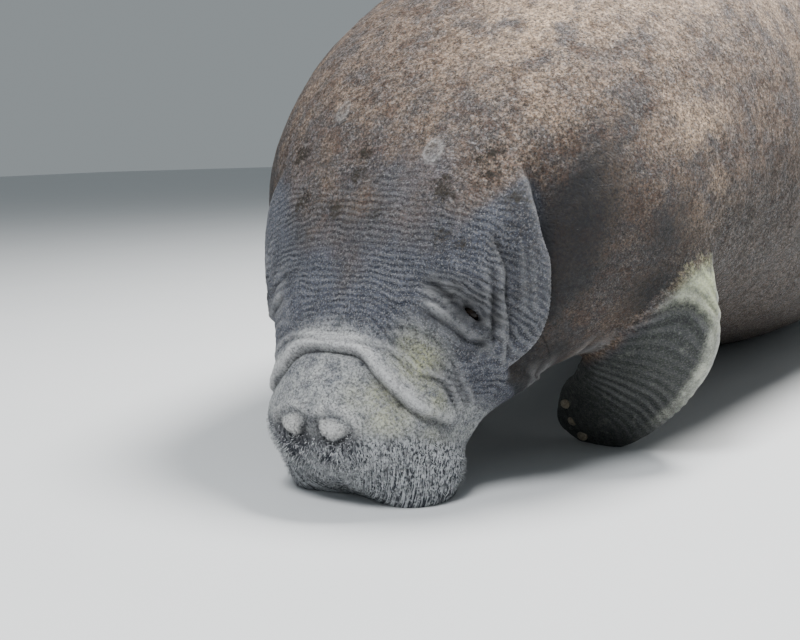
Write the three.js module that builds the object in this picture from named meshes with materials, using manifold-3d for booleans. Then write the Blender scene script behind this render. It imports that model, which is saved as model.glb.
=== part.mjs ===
// A manatee at life size, lying on the bottom with its nose down.
// Millimetres, +Z up, head towards -Y, the animal's left side towards +X.
//
// The body is drawn straight first: x is to its left, s runs back from the front of the muzzle,
// and n is up from the body's axis. Each point is then bent onto the axis of the pose.

import * as THREE from 'three';
import { mergeVertices } from 'three/addons/utils/BufferGeometryUtils.js';
import Module from 'manifold-3d';

const wasm = await Module();
wasm.setup();

// Driving dimensions
const LENGTH = 3000;
const NOSE_HEIGHT = 24;
const GAP = 0.4;

// How closely the columns stand at the middle of the back, and how finely a ring is measured
const COLUMN_CROWDING = 0.3;
const RING_STEPS = 120;

// Rings in front of the first place may curve, and rings behind the second are flat
const FLAT_RINGS = { from: 60, to: 110 };
const RELIEF_END = 420;

// Distances of the first and last rings from the body's ends, and how the muzzle's rings crowd
const END_RINGS = { front: 1.5, crowding: 1.7, rear: 1.2 };

// Half width, height above and below the axis, and squareness, along the body
const STATIONS = [
  { s: 0, wide: 94, up: 74, down: 90, square: 2.7 },
  { s: 40, wide: 102, up: 79, down: 96, square: 2.7 },
  { s: 80, wide: 109, up: 86, down: 98, square: 2.6 },
  { s: 120, wide: 124, up: 94, down: 102, square: 2.5 },
  { s: 160, wide: 156, up: 106, down: 118, square: 2.4 },
  { s: 210, wide: 191, up: 124, down: 142, square: 2.3 },
  { s: 270, wide: 230, up: 150, down: 170, square: 2.25 },
  { s: 340, wide: 268, up: 184, down: 198, square: 2.2 },
  { s: 420, wide: 291, up: 220, down: 222, square: 2.15 },
  { s: 520, wide: 308, up: 258, down: 250, square: 2.1 },
  { s: 650, wide: 325, up: 292, down: 282, square: 2.1 },
  { s: 850, wide: 342, up: 326, down: 322, square: 2.1 },
  { s: 1100, wide: 360, up: 348, down: 352, square: 2.1 },
  { s: 1400, wide: 364, up: 354, down: 362, square: 2.1 },
  { s: 1700, wide: 340, up: 326, down: 327, square: 2.1 },
  { s: 1950, wide: 284, up: 262, down: 254, square: 2.05 },
  { s: 2150, wide: 220, up: 186, down: 178, square: 2.0 },
  { s: 2320, wide: 178, up: 118, down: 112, square: 2.0 },
  { s: 2450, wide: 188, up: 74, down: 70, square: 2.0 },
  { s: 2580, wide: 244, up: 48, down: 45, square: 1.9 },
  { s: 2720, wide: 298, up: 32, down: 30, square: 1.8 },
  { s: 2850, wide: 312, up: 22, down: 21, square: 1.8 },
  { s: LENGTH, wide: 300, up: 14, down: 14, square: 1.8 },
];
const MUZZLE_CAP = { length: 60, power: 2.6 };
const FLUKE_CAP = { start: 2700, widePower: 2.2, thickPower: 6 };

// The axis's slope above the horizon, in degrees, going back from the muzzle
const SLOPES = [
  { s: 0, degrees: 54 }, { s: 150, degrees: 52 }, { s: 300, degrees: 39 }, { s: 420, degrees: 23 },
  { s: 550, degrees: 11 }, { s: 700, degrees: 4 }, { s: 900, degrees: -1 }, { s: 1100, degrees: -3 },
  { s: 1400, degrees: -4 }, { s: 1700, degrees: -10 }, { s: 2000, degrees: -18.2 },
  { s: 2250, degrees: -22 }, { s: 2450, degrees: -18 }, { s: 2620, degrees: -10.5 },
  { s: 2780, degrees: -4 }, { s: LENGTH, degrees: -3 },
];

// How far the head is turned to the animal's right, in degrees, and where along the neck it turns
const TURN = { degrees: 9, from: 160, to: 560 };

// Where the body is parted, with the rows and columns of points in each length
const LENGTHS = [
  { name: 'muzzle', from: 0, to: 142, rows: 19, columns: 52, colour: 0x8d8f8c },
  { name: 'head', from: 142, to: 300, rows: 15, columns: 72, colour: 0x6d6f7c },
  { name: 'neck', from: 300, to: 360, rows: 5, columns: 44, colour: 0x6f6c70 },
  { name: 'chest', from: 360, to: 850, rows: 11, columns: 36, colour: 0x74695f },
  { name: 'torso', from: 850, to: 1400, rows: 7, columns: 36, colour: 0x7d6e60 },
  { name: 'loin', from: 1400, to: 1950, rows: 7, columns: 36, colour: 0x7a6b5e },
  { name: 'tail_stock', from: 1950, to: 2450, rows: 8, columns: 36, colour: 0x75685d },
  { name: 'tail_fluke', from: 2450, to: LENGTH, rows: 13, columns: 40, colour: 0x6f665d },
];

// Soft creases: places on the skin as [s, degrees round from the top of the back]
const CREASES = [
  { depth: 10, width: 13, at: [[109, 0], [105, 13], [96, 24], [87, 42], [82, 62], [82, 82], [93, 100]] },
  { depth: 3, width: 12, at: [[134, 0], [134, 20], [134, 38], [131, 54], [122, 77], [112, 95]] },
  { depth: 4, width: 12, at: [[212, 49], [192, 60], [174, 69], [158, 77]] },
  { depth: 9, width: 16, at: [[250, 44], [226, 55], [199, 67], [177, 80], [160, 92]] },
  { depth: 16, width: 20, at: [[296, 48], [280, 60], [261, 71], [244, 81], [228, 90], [190, 108]] },
];

// Soft swellings: centre on the skin, reach along the skin and height
const PADS = [
  { at: [62, 0], reach: 40, height: 6 },
  { at: [104, 72], reach: 24, height: 4 },
  { at: [52, 100], reach: 26, height: 4 },
  { at: [22, 128], reach: 45, height: 24 },
  { at: [232, 64], reach: 32, height: 9 },
  { at: [200, 84], reach: 30, height: 9 },
];

// The line of the mouth is where a slanted plane leaves the muzzle, and the jaw lies below it
const BLOCK = 600;
const MOUTH = { front: { s: 45, n: -90 }, corner: { s: 122, n: -35 }, lip: 7, width: 6, fade: 12 };

const NOSTRIL = { s: 29, side: 28, proud: 4, pit: [15, 12, 7], valve: [11.5, 8.5, 7], sunk: 3.5 };
const EYE = {
  s: 172, round: 57, radius: 12, clear: 0.8, sunk: 9, lids: [27, 21, 6], slit: [9.5, 3.2, 14],
  slitOut: 4, lean: 25,
};

// The left flipper's centre line, its breadth direction, and its half breadth and half thickness
const FLIPPER = [
  { at: [105, 318, 300], across: [0.7, 0.6, 0.35], half: [50, 56] },
  { at: [175, 296, 268], across: [0.72, 0.62, 0.2], half: [52, 52] },
  { at: [224, 274, 216], across: [0.78, 0.55, -0.13], half: [60, 44] },
  { at: [228, 270, 156], across: [0.8, 0.48, -0.3], half: [68, 35] },
  { at: [196, 288, 100], across: [0.75, 0.4, -0.5], half: [66, 26] },
  { at: [140, 318, 50], across: [0.5, 0.25, -0.8], half: [54, 19] },
  { at: [72, 352, 23], across: [0.38, 0.08, -0.9], half: [46, 13] },
];
// The right flipper mirrors the left one, moved out of the turned head's way
const RIGHT_FLIPPER_SHIFT = [-12, 40, 0];
const FLIPPER_ROWS = 24;
const FLIPPER_COLUMNS = 18;
const FLIPPER_WRIST = 0.62;
const FLIPPER_TIP = { start: 0.84, power: 2.4, end: 0.9975 };
const FLIPPER_ROUNDNESS = 0.9;
const NAIL = { along: 0.925, places: [-0.52, 0, 0.52], half: [9, 6.5, 3], sunk: 0.5 };

// Straight body

function smooth(table, key, s) {
  const last = table.length - 1;
  let i = 0;
  while (i < last - 1 && table[i + 1].s <= s) i += 1;
  const step = (k) => table[k + 1].s - table[k].s;
  const rise = (k) => (table[k + 1][key] - table[k][key]) / step(k);
  const slope = (k) => {
    if (k === 0) return rise(0);
    if (k === last) return rise(last - 1);
    return (rise(k - 1) * step(k) + rise(k) * step(k - 1)) / (step(k - 1) + step(k));
  };
  const h = step(i);
  const t = THREE.MathUtils.clamp((s - table[i].s) / h, 0, 1);
  const a = table[i][key] * (2 * t ** 3 - 3 * t ** 2 + 1) + slope(i) * h * (t ** 3 - 2 * t ** 2 + t);
  const b = table[i + 1][key] * (3 * t ** 2 - 2 * t ** 3) + slope(i + 1) * h * (t ** 3 - t ** 2);
  return a + b;
}

function sizeAt(s) {
  const ahead = THREE.MathUtils.clamp(1 - s / MUZZLE_CAP.length, 0, 1);
  const nose = (1 - ahead ** MUZZLE_CAP.power) ** (1 / MUZZLE_CAP.power);
  const behind = THREE.MathUtils.clamp((s - FLUKE_CAP.start) / (LENGTH - FLUKE_CAP.start), 0, 1);
  const narrow = Math.sqrt(1 - behind ** FLUKE_CAP.widePower);
  const thin = Math.sqrt(1 - behind ** FLUKE_CAP.thickPower);
  return {
    wide: smooth(STATIONS, 'wide', s) * nose * narrow,
    up: smooth(STATIONS, 'up', s) * nose * thin,
    down: smooth(STATIONS, 'down', s) * nose * thin,
    square: smooth(STATIONS, 'square', s),
  };
}

function pointRound(size, s, degrees) {
  const angle = THREE.MathUtils.degToRad(90 - degrees);
  const c = Math.cos(angle);
  const d = Math.sin(angle);
  const power = 2 / size.square;
  const x = size.wide * Math.sign(c) * Math.abs(c) ** power;
  const n = (d > 0 ? size.up : size.down) * Math.sign(d) * Math.abs(d) ** power;
  return new THREE.Vector3(x, s, n);
}

function onSkin(s, degrees) {
  return pointRound(sizeAt(s), s, degrees);
}

// How far round the half ring a column stands, with the columns closer at the top
function columnFraction(k, columns) {
  const even = k / columns;
  return 2 * (even - COLUMN_CROWDING * Math.sin(2 * Math.PI * even) / (2 * Math.PI));
}

function halfRing(s, columns) {
  const size = sizeAt(s);
  const fine = Array.from({ length: RING_STEPS + 1 }, (_, i) => pointRound(size, s, i * 180 / RING_STEPS));
  const run = [0];
  for (let i = 1; i < fine.length; i += 1) run.push(run[i - 1] + fine[i].distanceTo(fine[i - 1]));
  const total = run[run.length - 1];
  const points = [];
  let i = 1;
  for (let k = 0; k <= columns / 2; k += 1) {
    const want = columnFraction(k, columns) * total;
    while (i < fine.length - 1 && run[i] < want) i += 1;
    const t = total > 0 ? (want - run[i - 1]) / (run[i] - run[i - 1]) : 0;
    points.push(fine[i - 1].clone().lerp(fine[i], THREE.MathUtils.clamp(t, 0, 1)));
  }
  return points;
}

// Creases, pads and the line of the mouth

function distanceToLine(point, line) {
  let best = Infinity;
  const nearest = new THREE.Vector3();
  const segment = new THREE.Line3();
  for (let i = 1; i < line.length; i += 1) {
    segment.set(line[i - 1], line[i]).closestPointToPoint(point, true, nearest);
    best = Math.min(best, nearest.distanceTo(point));
  }
  return best;
}

const creaseLines = CREASES.map(({ at }) => {
  const curve = new THREE.CatmullRomCurve3(at.map(([s, degrees]) => onSkin(s, degrees)));
  return curve.getPoints(24);
});
const padCentres = PADS.map(({ at }) => onSkin(...at));

const mouthLine = [MOUTH.corner.s - MOUTH.front.s, MOUTH.corner.n - MOUTH.front.n];
const mouthAlong = new THREE.Vector2(...mouthLine).normalize();

function aboveMouth(point) {
  return (point.z - MOUTH.front.n) * mouthAlong.x - (point.y - MOUTH.front.s) * mouthAlong.y;
}

function relief(point) {
  let height = 0;
  if (point.y > RELIEF_END) return height;
  creaseLines.forEach((line, i) => {
    const { depth, width } = CREASES[i];
    height -= depth * Math.exp(-((distanceToLine(point, line) / width) ** 2));
  });
  padCentres.forEach((centre, i) => {
    const { reach, height: rise } = PADS[i];
    height += rise * Math.exp(-((centre.distanceTo(point) / reach) ** 2));
  });
  const mouthEnds = THREE.MathUtils.smoothstep(MOUTH.corner.s + MOUTH.fade - point.y, 0, 2 * MOUTH.fade);
  height -= MOUTH.lip * mouthEnds * Math.exp(-((aboveMouth(point) / MOUTH.width) ** 2));
  return height;
}

// One ring of finished points, moved out along the skin's normal; rings from the cap back stay flat
function finishedRing(s, columns, grow) {
  const here = halfRing(s, columns);
  const step = Math.min(2, s / 2);
  const before = halfRing(s - step, columns);
  const after = halfRing(s + step, columns);
  const flat = THREE.MathUtils.smoothstep(s, FLAT_RINGS.from, FLAT_RINGS.to);
  const half = here.map((point, k) => {
    const along = after[k].clone().sub(before[k]);
    const round = k === 0 || k === columns / 2
      ? new THREE.Vector3(k === 0 ? 1 : -1, 0, 0)
      : here[k + 1].clone().sub(here[k - 1]);
    const normal = round.cross(along).normalize();
    normal.y *= 1 - flat;
    return point.clone().addScaledVector(normal, relief(point) + grow);
  });
  half[0].x = 0;
  half[columns / 2].x = 0;
  const mirrored = half.slice(1, -1).reverse().map((p) => new THREE.Vector3(-p.x, p.y, p.z));
  return half.concat(mirrored);
}

// Axis of the pose

const AXIS_STEP = 2;

function headingAt(s) {
  const turned = 1 - THREE.MathUtils.smoothstep(s, TURN.from, TURN.to);
  return {
    slope: THREE.MathUtils.degToRad(smooth(SLOPES, 'degrees', s)),
    turn: THREE.MathUtils.degToRad(TURN.degrees * turned),
  };
}

// Directions at a place: back along the axis, to the animal's left, and up from the axis
function directions({ slope, turn }) {
  const level = Math.cos(slope);
  const back = new THREE.Vector3(Math.sin(turn) * level, Math.cos(turn) * level, Math.sin(slope));
  const left = new THREE.Vector3(Math.cos(turn), -Math.sin(turn), 0);
  return { back, left, up: left.clone().cross(back) };
}

const axis = [{ point: new THREE.Vector3(0, 0, NOSE_HEIGHT), ...headingAt(0) }];
for (let s = AXIS_STEP; s <= LENGTH; s += AXIS_STEP) {
  const middle = directions(headingAt(s - AXIS_STEP / 2)).back;
  const point = axis[axis.length - 1].point.clone().addScaledVector(middle, AXIS_STEP);
  axis.push({ point, ...headingAt(s) });
}
const rearEnd = axis[axis.length - 1].point.x;
for (const { point } of axis) point.x -= rearEnd;

function axisAt(s) {
  const place = THREE.MathUtils.clamp(s, 0, LENGTH) / AXIS_STEP;
  const i = Math.min(Math.floor(place), axis.length - 2);
  const t = place - i;
  const mix = (key) => axis[i][key] * (1 - t) + axis[i + 1][key] * t;
  const point = axis[i].point.clone().lerp(axis[i + 1].point, t);
  return { point, slope: mix('slope'), turn: mix('turn') };
}

function bend(point) {
  const here = axisAt(point.y);
  const { back, left, up } = directions(here);
  const beyond = point.y - THREE.MathUtils.clamp(point.y, 0, LENGTH);
  return here.point.addScaledVector(back, beyond).addScaledVector(left, point.x).addScaledVector(up, point.z);
}

// What would reach below the floor is pressed flat on it
function restOnFloor(point) {
  return new THREE.Vector3(point.x, point.y, Math.max(point.z, 0));
}

// Solids

function closedGeometry(points, faces) {
  const geometry = new THREE.BufferGeometry();
  geometry.setAttribute('position', new THREE.Float32BufferAttribute(points.flatMap((p) => p.toArray()), 3));
  geometry.setIndex(faces.flat());
  return geometry;
}

// The two triangles of a four-sided patch, cut along its shorter diagonal
function patch(points, a, b, c, d) {
  const shortAC = points[a].distanceTo(points[c]) < points[b].distanceTo(points[d]);
  return shortAC ? [[a, b, c], [a, c, d]] : [[a, b, d], [b, c, d]];
}

// A closed loft: rings of the same count, ends closed by a middle point each
function loft(rings, firstMiddle, lastMiddle) {
  const count = rings[0].length;
  const points = rings.flat();
  const first = points.push(firstMiddle) - 1;
  const last = points.push(lastMiddle) - 1;
  const faces = [];
  for (let k = 0; k < count; k += 1) {
    const next = (k + 1) % count;
    faces.push([first, next, k]);
    for (let i = 0; i + 1 < rings.length; i += 1) {
      const a = i * count + k;
      const b = i * count + next;
      faces.push(...patch(points, a, b, b + count, a + count));
    }
    const end = (rings.length - 1) * count;
    faces.push([last, end + k, end + next]);
  }
  return closedGeometry(points, faces);
}

function toSolid(geometry) {
  const bare = geometry.clone();
  bare.deleteAttribute('normal');
  bare.deleteAttribute('uv');
  const merged = mergeVertices(bare, 1e-4);
  return new wasm.Manifold(new wasm.Mesh({
    numProp: 3,
    vertProperties: new Float32Array(merged.attributes.position.array),
    triVerts: new Uint32Array(merged.index.array),
  }));
}

function toGeometry(solid) {
  const mesh = solid.getMesh();
  const geometry = new THREE.BufferGeometry();
  geometry.setAttribute('position', new THREE.Float32BufferAttribute(mesh.vertProperties, 3));
  geometry.setIndex(Array.from(mesh.triVerts));
  return geometry;
}

function largest(solid) {
  return solid.decompose().reduce((a, b) => (a.volume() > b.volume() ? a : b));
}

function reshape(geometry, move) {
  const moved = geometry.clone();
  const position = moved.attributes.position;
  const point = new THREE.Vector3();
  for (let i = 0; i < position.count; i += 1) {
    point.copy(move(point.fromBufferAttribute(position, i)));
    position.setXYZ(i, point.x, point.y, point.z);
  }
  return moved;
}

function mirror(geometry, shift = [0, 0, 0]) {
  const other = reshape(geometry, (p) => new THREE.Vector3(-p.x, p.y, p.z).add(new THREE.Vector3(...shift)));
  const index = other.index.array;
  for (let i = 0; i < index.length; i += 3) {
    [index[i + 1], index[i + 2]] = [index[i + 2], index[i + 1]];
  }
  return other;
}

function ellipsoid(radii, segments, place) {
  const geometry = new THREE.SphereGeometry(1, segments, Math.round(segments * 0.6));
  geometry.scale(...radii);
  return geometry.applyMatrix4(place);
}

// Body lengths

function rowPlaces(from, to, rows) {
  const places = [];
  for (let i = 0; i < rows; i += 1) {
    const t = i / (rows - 1);
    if (from === 0) places.push(END_RINGS.front + (to - END_RINGS.front) * t ** END_RINGS.crowding);
    else if (to === LENGTH) places.push(from + (to - END_RINGS.rear - from) * Math.sin(t * Math.PI / 2));
    else places.push(from + (to - from) * t);
  }
  return places;
}

function bodyLength({ from, to, rows, columns }, grow = 0) {
  const start = from === 0 ? 0 : from + GAP / 2;
  const end = to === LENGTH ? LENGTH : to - GAP / 2;
  const places = rowPlaces(start, end, rows);
  const rings = places.map((s) => finishedRing(s, columns, grow));
  const middle = (s) => {
    const { up, down } = sizeAt(s);
    return new THREE.Vector3(0, s, (up - down) / 2);
  };
  const pressOut = new THREE.Vector3(0, grow, 0);
  return loft(rings, middle(start).sub(pressOut), middle(end).add(pressOut));
}

// A frame on the skin: x round the body, y back along it, z out of it
function skinFrame(s, degrees, out, turn = 0) {
  const centre = onSkin(s, degrees);
  const along = onSkin(s + 4, degrees).sub(onSkin(s - 4, degrees));
  const round = onSkin(s, degrees + 2).sub(onSkin(s, degrees - 2));
  const normal = round.clone().cross(along).normalize();
  const x = round.normalize();
  const y = normal.clone().cross(x);
  const place = new THREE.Matrix4().makeBasis(x, y, normal).setPosition(centre.addScaledVector(normal, out));
  return place.multiply(new THREE.Matrix4().makeRotationZ(THREE.MathUtils.degToRad(turn)));
}

function bothSides(solid) {
  return solid.add(toSolid(mirror(toGeometry(solid))));
}

function nostrilRound() {
  let low = 0;
  let high = 60;
  while (high - low > 0.01) {
    const middle = (low + high) / 2;
    if (onSkin(NOSTRIL.s, middle).x < NOSTRIL.side) low = middle;
    else high = middle;
  }
  return low;
}

function muzzleAndJaw(length) {
  const round = nostrilRound();
  const pit = toSolid(ellipsoid(NOSTRIL.pit, 14, skinFrame(NOSTRIL.s, round, NOSTRIL.proud)));
  const valvePlace = skinFrame(NOSTRIL.s, round, NOSTRIL.proud - NOSTRIL.sunk);
  const valve = toSolid(ellipsoid(NOSTRIL.valve, 14, valvePlace));
  const whole = toSolid(bodyLength(length)).subtract(bothSides(pit)).add(bothSides(valve));
  const tilt = Math.atan2(mouthAlong.y, mouthAlong.x);
  const box = (lift) => {
    const block = new THREE.BoxGeometry(BLOCK, BLOCK, BLOCK);
    block.translate(0, 0, lift - BLOCK / 2);
    block.rotateX(tilt);
    return toSolid(block.translate(0, MOUTH.front.s, MOUTH.front.n));
  };
  return {
    muzzle: toGeometry(largest(whole.subtract(box(GAP / 2)))),
    jaw: toGeometry(largest(whole.intersect(box(-GAP / 2)))),
  };
}

function headWithSockets(length) {
  const lids = toSolid(ellipsoid(EYE.lids, 16, skinFrame(EYE.s, EYE.round, 0, EYE.lean)));
  const inner = EYE.radius + EYE.clear;
  const socket = toSolid(ellipsoid([inner, inner, inner], 14, skinFrame(EYE.s, EYE.round, -EYE.sunk)));
  const slit = toSolid(ellipsoid(EYE.slit, 12, skinFrame(EYE.s, EYE.round, EYE.slitOut, EYE.lean)));
  const solid = toSolid(bodyLength(length)).add(bothSides(lids)).subtract(bothSides(socket.add(slit)));
  return toGeometry(largest(solid));
}

// Flippers

const flipperCurve = new THREE.CatmullRomCurve3(FLIPPER.map(({ at }) => new THREE.Vector3(...at)));

function flipperAt(t) {
  const place = t * (FLIPPER.length - 1);
  const i = Math.min(Math.floor(place), FLIPPER.length - 2);
  const f = place - i;
  const mix = (key, j) => FLIPPER[i][key][j] * (1 - f) + FLIPPER[i + 1][key][j] * f;
  const along = flipperCurve.getTangent(t);
  const across = new THREE.Vector3(mix('across', 0), mix('across', 1), mix('across', 2));
  across.addScaledVector(along, -across.dot(along)).normalize();
  const out = along.clone().cross(across);
  const tip = THREE.MathUtils.clamp((t - FLIPPER_TIP.start) / (1 - FLIPPER_TIP.start), 0, 1);
  const round = Math.sqrt(1 - tip ** FLIPPER_TIP.power);
  return { centre: flipperCurve.getPoint(t), along, across, out, breadth: mix('half', 0) * round,
    thickness: mix('half', 1) * Math.sqrt(round) };
}

function flipperPoint(t, c, d) {
  const { centre, across, out, breadth, thickness } = flipperAt(t);
  return centre.clone().addScaledVector(across, breadth * c).addScaledVector(out, thickness * d);
}

function flipperLength(from, to) {
  const rows = Math.max(6, Math.round(FLIPPER_ROWS * (to - from)));
  const rings = [];
  for (let i = 0; i < rows; i += 1) {
    const step = i / (rows - 1);
    const t = from + (to - from) * (to === 1 ? Math.sin(step * Math.PI / 2) * FLIPPER_TIP.end : step);
    const ring = [];
    for (let k = 0; k < FLIPPER_COLUMNS; k += 1) {
      const angle = 2 * Math.PI * k / FLIPPER_COLUMNS;
      const c = Math.cos(angle);
      ring.push(flipperPoint(t, Math.sign(c) * Math.abs(c) ** FLIPPER_ROUNDNESS, Math.sin(angle)));
    }
    rings.push(ring);
  }
  return reshape(loft(rings, flipperAt(from).centre, flipperAt(to).centre), restOnFloor);
}

function nailPlace(place) {
  const { along, across, out, breadth } = flipperAt(NAIL.along);
  const side = place * breadth;
  const reach = flipperAt(NAIL.along).thickness * Math.sqrt(1 - place ** 2);
  const middle = flipperAt(NAIL.along).centre.clone();
  const centre = middle.addScaledVector(across, side).addScaledVector(out, reach - NAIL.sunk);
  return new THREE.Matrix4().makeBasis(along, across, out).setPosition(centre);
}

const SEAM_REACH = 6;

// What the flippers are cut back from: the body near them, grown by the gap
const bodyNearFlippers = ['head', 'neck', 'chest'].flatMap((part) => {
  const length = LENGTHS.find(({ name }) => name === part);
  return [length, { ...length, from: length.from - SEAM_REACH, to: length.from + SEAM_REACH, rows: 2 }];
}).map((length) => toSolid(reshape(bodyLength(length, GAP), bend)));

function flipperOf(sided) {
  const split = GAP / 2 / flipperCurve.getLength();
  const apart = (solid) => bodyNearFlippers.reduce((left, part) => left.subtract(part), solid);
  const arm = apart(toSolid(sided(flipperLength(0, FLIPPER_WRIST - split))));
  let hand = apart(toSolid(sided(flipperLength(FLIPPER_WRIST + split, 1))));
  for (const place of NAIL.places) {
    const grown = NAIL.half.map((half) => half + GAP);
    hand = hand.subtract(toSolid(sided(ellipsoid(grown, 10, nailPlace(place)))));
  }
  return { arm: toGeometry(largest(arm)), hand: toGeometry(largest(hand)) };
}

// Assembly

const animal = new THREE.Group();

function addMesh(name, geometry, colour, roughness = 0.75) {
  const material = new THREE.MeshStandardMaterial({ color: colour, roughness, metalness: 0 });
  const mesh = new THREE.Mesh(geometry, material);
  mesh.name = name;
  animal.add(mesh);
  return mesh;
}

const pose = (point) => restOnFloor(bend(point));

for (const length of LENGTHS) {
  if (length.name === 'muzzle') {
    const { muzzle, jaw } = muzzleAndJaw(length);
    addMesh('muzzle', reshape(muzzle, pose), length.colour);
    addMesh('lower_jaw', reshape(jaw, pose), 0x7b7a78);
  } else if (length.name === 'head') {
    addMesh('head', reshape(headWithSockets(length), pose), length.colour);
  } else {
    addMesh(length.name, reshape(bodyLength(length), pose), length.colour);
  }
}

const eyeCentre = new THREE.Vector3().setFromMatrixPosition(skinFrame(EYE.s, EYE.round, -EYE.sunk));

for (const [side, sign] of [['left', 1], ['right', -1]]) {
  const sided = (geometry) => (sign > 0 ? geometry : mirror(geometry, RIGHT_FLIPPER_SHIFT));
  const { arm, hand } = flipperOf(sided);
  addMesh(`flipper_${side}_arm`, arm, 0x77756a);
  addMesh(`flipper_${side}_hand`, hand, 0x5f6058);
  NAIL.places.forEach((place, i) => {
    const nail = new THREE.SphereGeometry(1, 10, 6).scale(...NAIL.half);
    addMesh(`nail_${side}_${i + 1}`, sided(nail.applyMatrix4(nailPlace(place))), 0xb5ab94, 0.5);
  });
  const eye = addMesh(`eye_${side}`, new THREE.SphereGeometry(EYE.radius, 14, 10), 0x17130f, 0.15);
  eye.position.copy(bend(new THREE.Vector3(sign * eyeCentre.x, eyeCentre.y, eyeCentre.z)));
}

// The origin is under the middle of the animal
const bounds = new THREE.Box3().setFromObject(animal);
animal.position.x = -(bounds.min.x + bounds.max.x) / 2;
animal.position.y = -(bounds.min.y + bounds.max.y) / 2;

const group = new THREE.Group();
group.add(animal);

export default group;
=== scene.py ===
"""Looks of a life-size manatee: one skin over the body and flippers, with eyes, nails and hairs.

Metres, +Z up, head towards -Y, the animal's left side towards +X. The body is drawn straight
first: x is to its left, s runs back from the front of the muzzle and n is up from its axis.
Each point is then bent onto the axis of the pose, as in the part's own source.
"""

import functools
import math
from types import SimpleNamespace

import bmesh
import bpy
import numpy as np
from mathutils import Matrix, Vector
from mathutils.bvhtree import BVHTree
from mathutils.kdtree import KDTree


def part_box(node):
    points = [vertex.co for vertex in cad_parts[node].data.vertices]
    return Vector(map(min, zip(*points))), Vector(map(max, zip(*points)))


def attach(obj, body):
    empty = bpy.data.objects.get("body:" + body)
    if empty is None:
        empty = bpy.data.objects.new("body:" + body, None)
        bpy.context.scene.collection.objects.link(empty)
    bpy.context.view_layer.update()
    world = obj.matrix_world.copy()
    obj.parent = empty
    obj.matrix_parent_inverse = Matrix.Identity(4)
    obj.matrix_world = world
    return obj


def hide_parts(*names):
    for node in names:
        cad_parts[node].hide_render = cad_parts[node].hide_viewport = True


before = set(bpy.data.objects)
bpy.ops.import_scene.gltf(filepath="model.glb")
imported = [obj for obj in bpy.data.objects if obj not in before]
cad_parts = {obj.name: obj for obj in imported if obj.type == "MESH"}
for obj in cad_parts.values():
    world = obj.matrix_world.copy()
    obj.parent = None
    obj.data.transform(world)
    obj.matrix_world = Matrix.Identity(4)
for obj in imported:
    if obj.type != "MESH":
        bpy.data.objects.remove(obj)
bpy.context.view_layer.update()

# Camera of the photograph
FRAME_WIDTH = 800
FOCAL_PIXELS = 1200
SENSOR = 36
CAMERA_AT = (0.64561, -2.42779, 0.36821)
CAMERA_AZIMUTH, CAMERA_ELEVATION, CAMERA_ROLL = 30, 8, -2

# The body's own sizes: s, half width, height above and below the axis, squareness
LENGTH = 3.0
STATIONS = np.array([
    [0.00, 0.094, 0.074, 0.090, 2.70], [0.04, 0.102, 0.079, 0.096, 2.70],
    [0.08, 0.109, 0.086, 0.098, 2.60], [0.12, 0.124, 0.094, 0.102, 2.50],
    [0.16, 0.156, 0.106, 0.118, 2.40], [0.21, 0.191, 0.124, 0.142, 2.30],
    [0.27, 0.230, 0.150, 0.170, 2.25], [0.34, 0.268, 0.184, 0.198, 2.20],
    [0.42, 0.291, 0.220, 0.222, 2.15], [0.52, 0.308, 0.258, 0.250, 2.10],
    [0.65, 0.325, 0.292, 0.282, 2.10], [0.85, 0.342, 0.326, 0.322, 2.10],
    [1.10, 0.360, 0.348, 0.352, 2.10], [1.40, 0.364, 0.354, 0.362, 2.10],
    [1.70, 0.340, 0.326, 0.327, 2.10], [1.95, 0.284, 0.262, 0.254, 2.05],
    [2.15, 0.220, 0.186, 0.178, 2.00], [2.32, 0.178, 0.118, 0.112, 2.00],
    [2.45, 0.188, 0.074, 0.070, 2.00], [2.58, 0.244, 0.048, 0.045, 1.90],
    [2.72, 0.298, 0.032, 0.030, 1.80], [2.85, 0.312, 0.022, 0.021, 1.80],
    [3.00, 0.300, 0.014, 0.014, 1.80],
])
MUZZLE_CAP, MUZZLE_CAP_POWER = 0.060, 2.6
FLUKE_CAP, FLUKE_WIDE_POWER, FLUKE_THICK_POWER = 2.70, 2.2, 6

# The axis: its slope above the horizon going back, the head's turn, and where it starts
SLOPES = np.array([
    [0, 54], [0.15, 52], [0.30, 39], [0.42, 23], [0.55, 11], [0.70, 4], [0.90, -1], [1.10, -3],
    [1.40, -4], [1.70, -10], [2.00, -18.2], [2.25, -22], [2.45, -18], [2.62, -10.5], [2.78, -4],
    [LENGTH, -3],
])
TURN, TURN_FROM, TURN_TO = 9, 0.16, 0.56
NOSE_HEIGHT = 0.024
ORIGIN_Y = -1.383175

# Places on the skin are [s in millimetres, degrees round from the middle of the back]
# Lids, valves and lobes are domes: half length, half breadth and height
EYE = {
    "at": (172, 57), "ball": 0.0102, "lean": -16, "lids": (0.024, 0.017, 0.0046), "slit": (0.0110, 0.0031),
    "slit_depth": 0.0125, "rim": 0.0012, "ring_depth": 0.0009, "ring_step": 0.00068, "hollow": 0.030,
}
NOSTRIL = {
    "s": 0.029, "side": 0.028, "reach": 0.045, "half": (0.0182, 0.0124), "valve": (0.0172, 0.0108, 0.0016),
    "lobe": (0.0062, 0.0066, 0.0012), "lobe_at": (-0.0125, -0.0030), "cleft": 0.0026, "cleft_at": -0.0068,
    "cleft_width": 0.0013, "rib": 0.0011, "hollow": 0.0034, "hood": 0.0034,
}
MOUTH = {"front": (0.045, -0.090), "corner": (0.122, -0.035), "lip": 0.007, "width": 0.006, "fade": 0.012}

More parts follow.
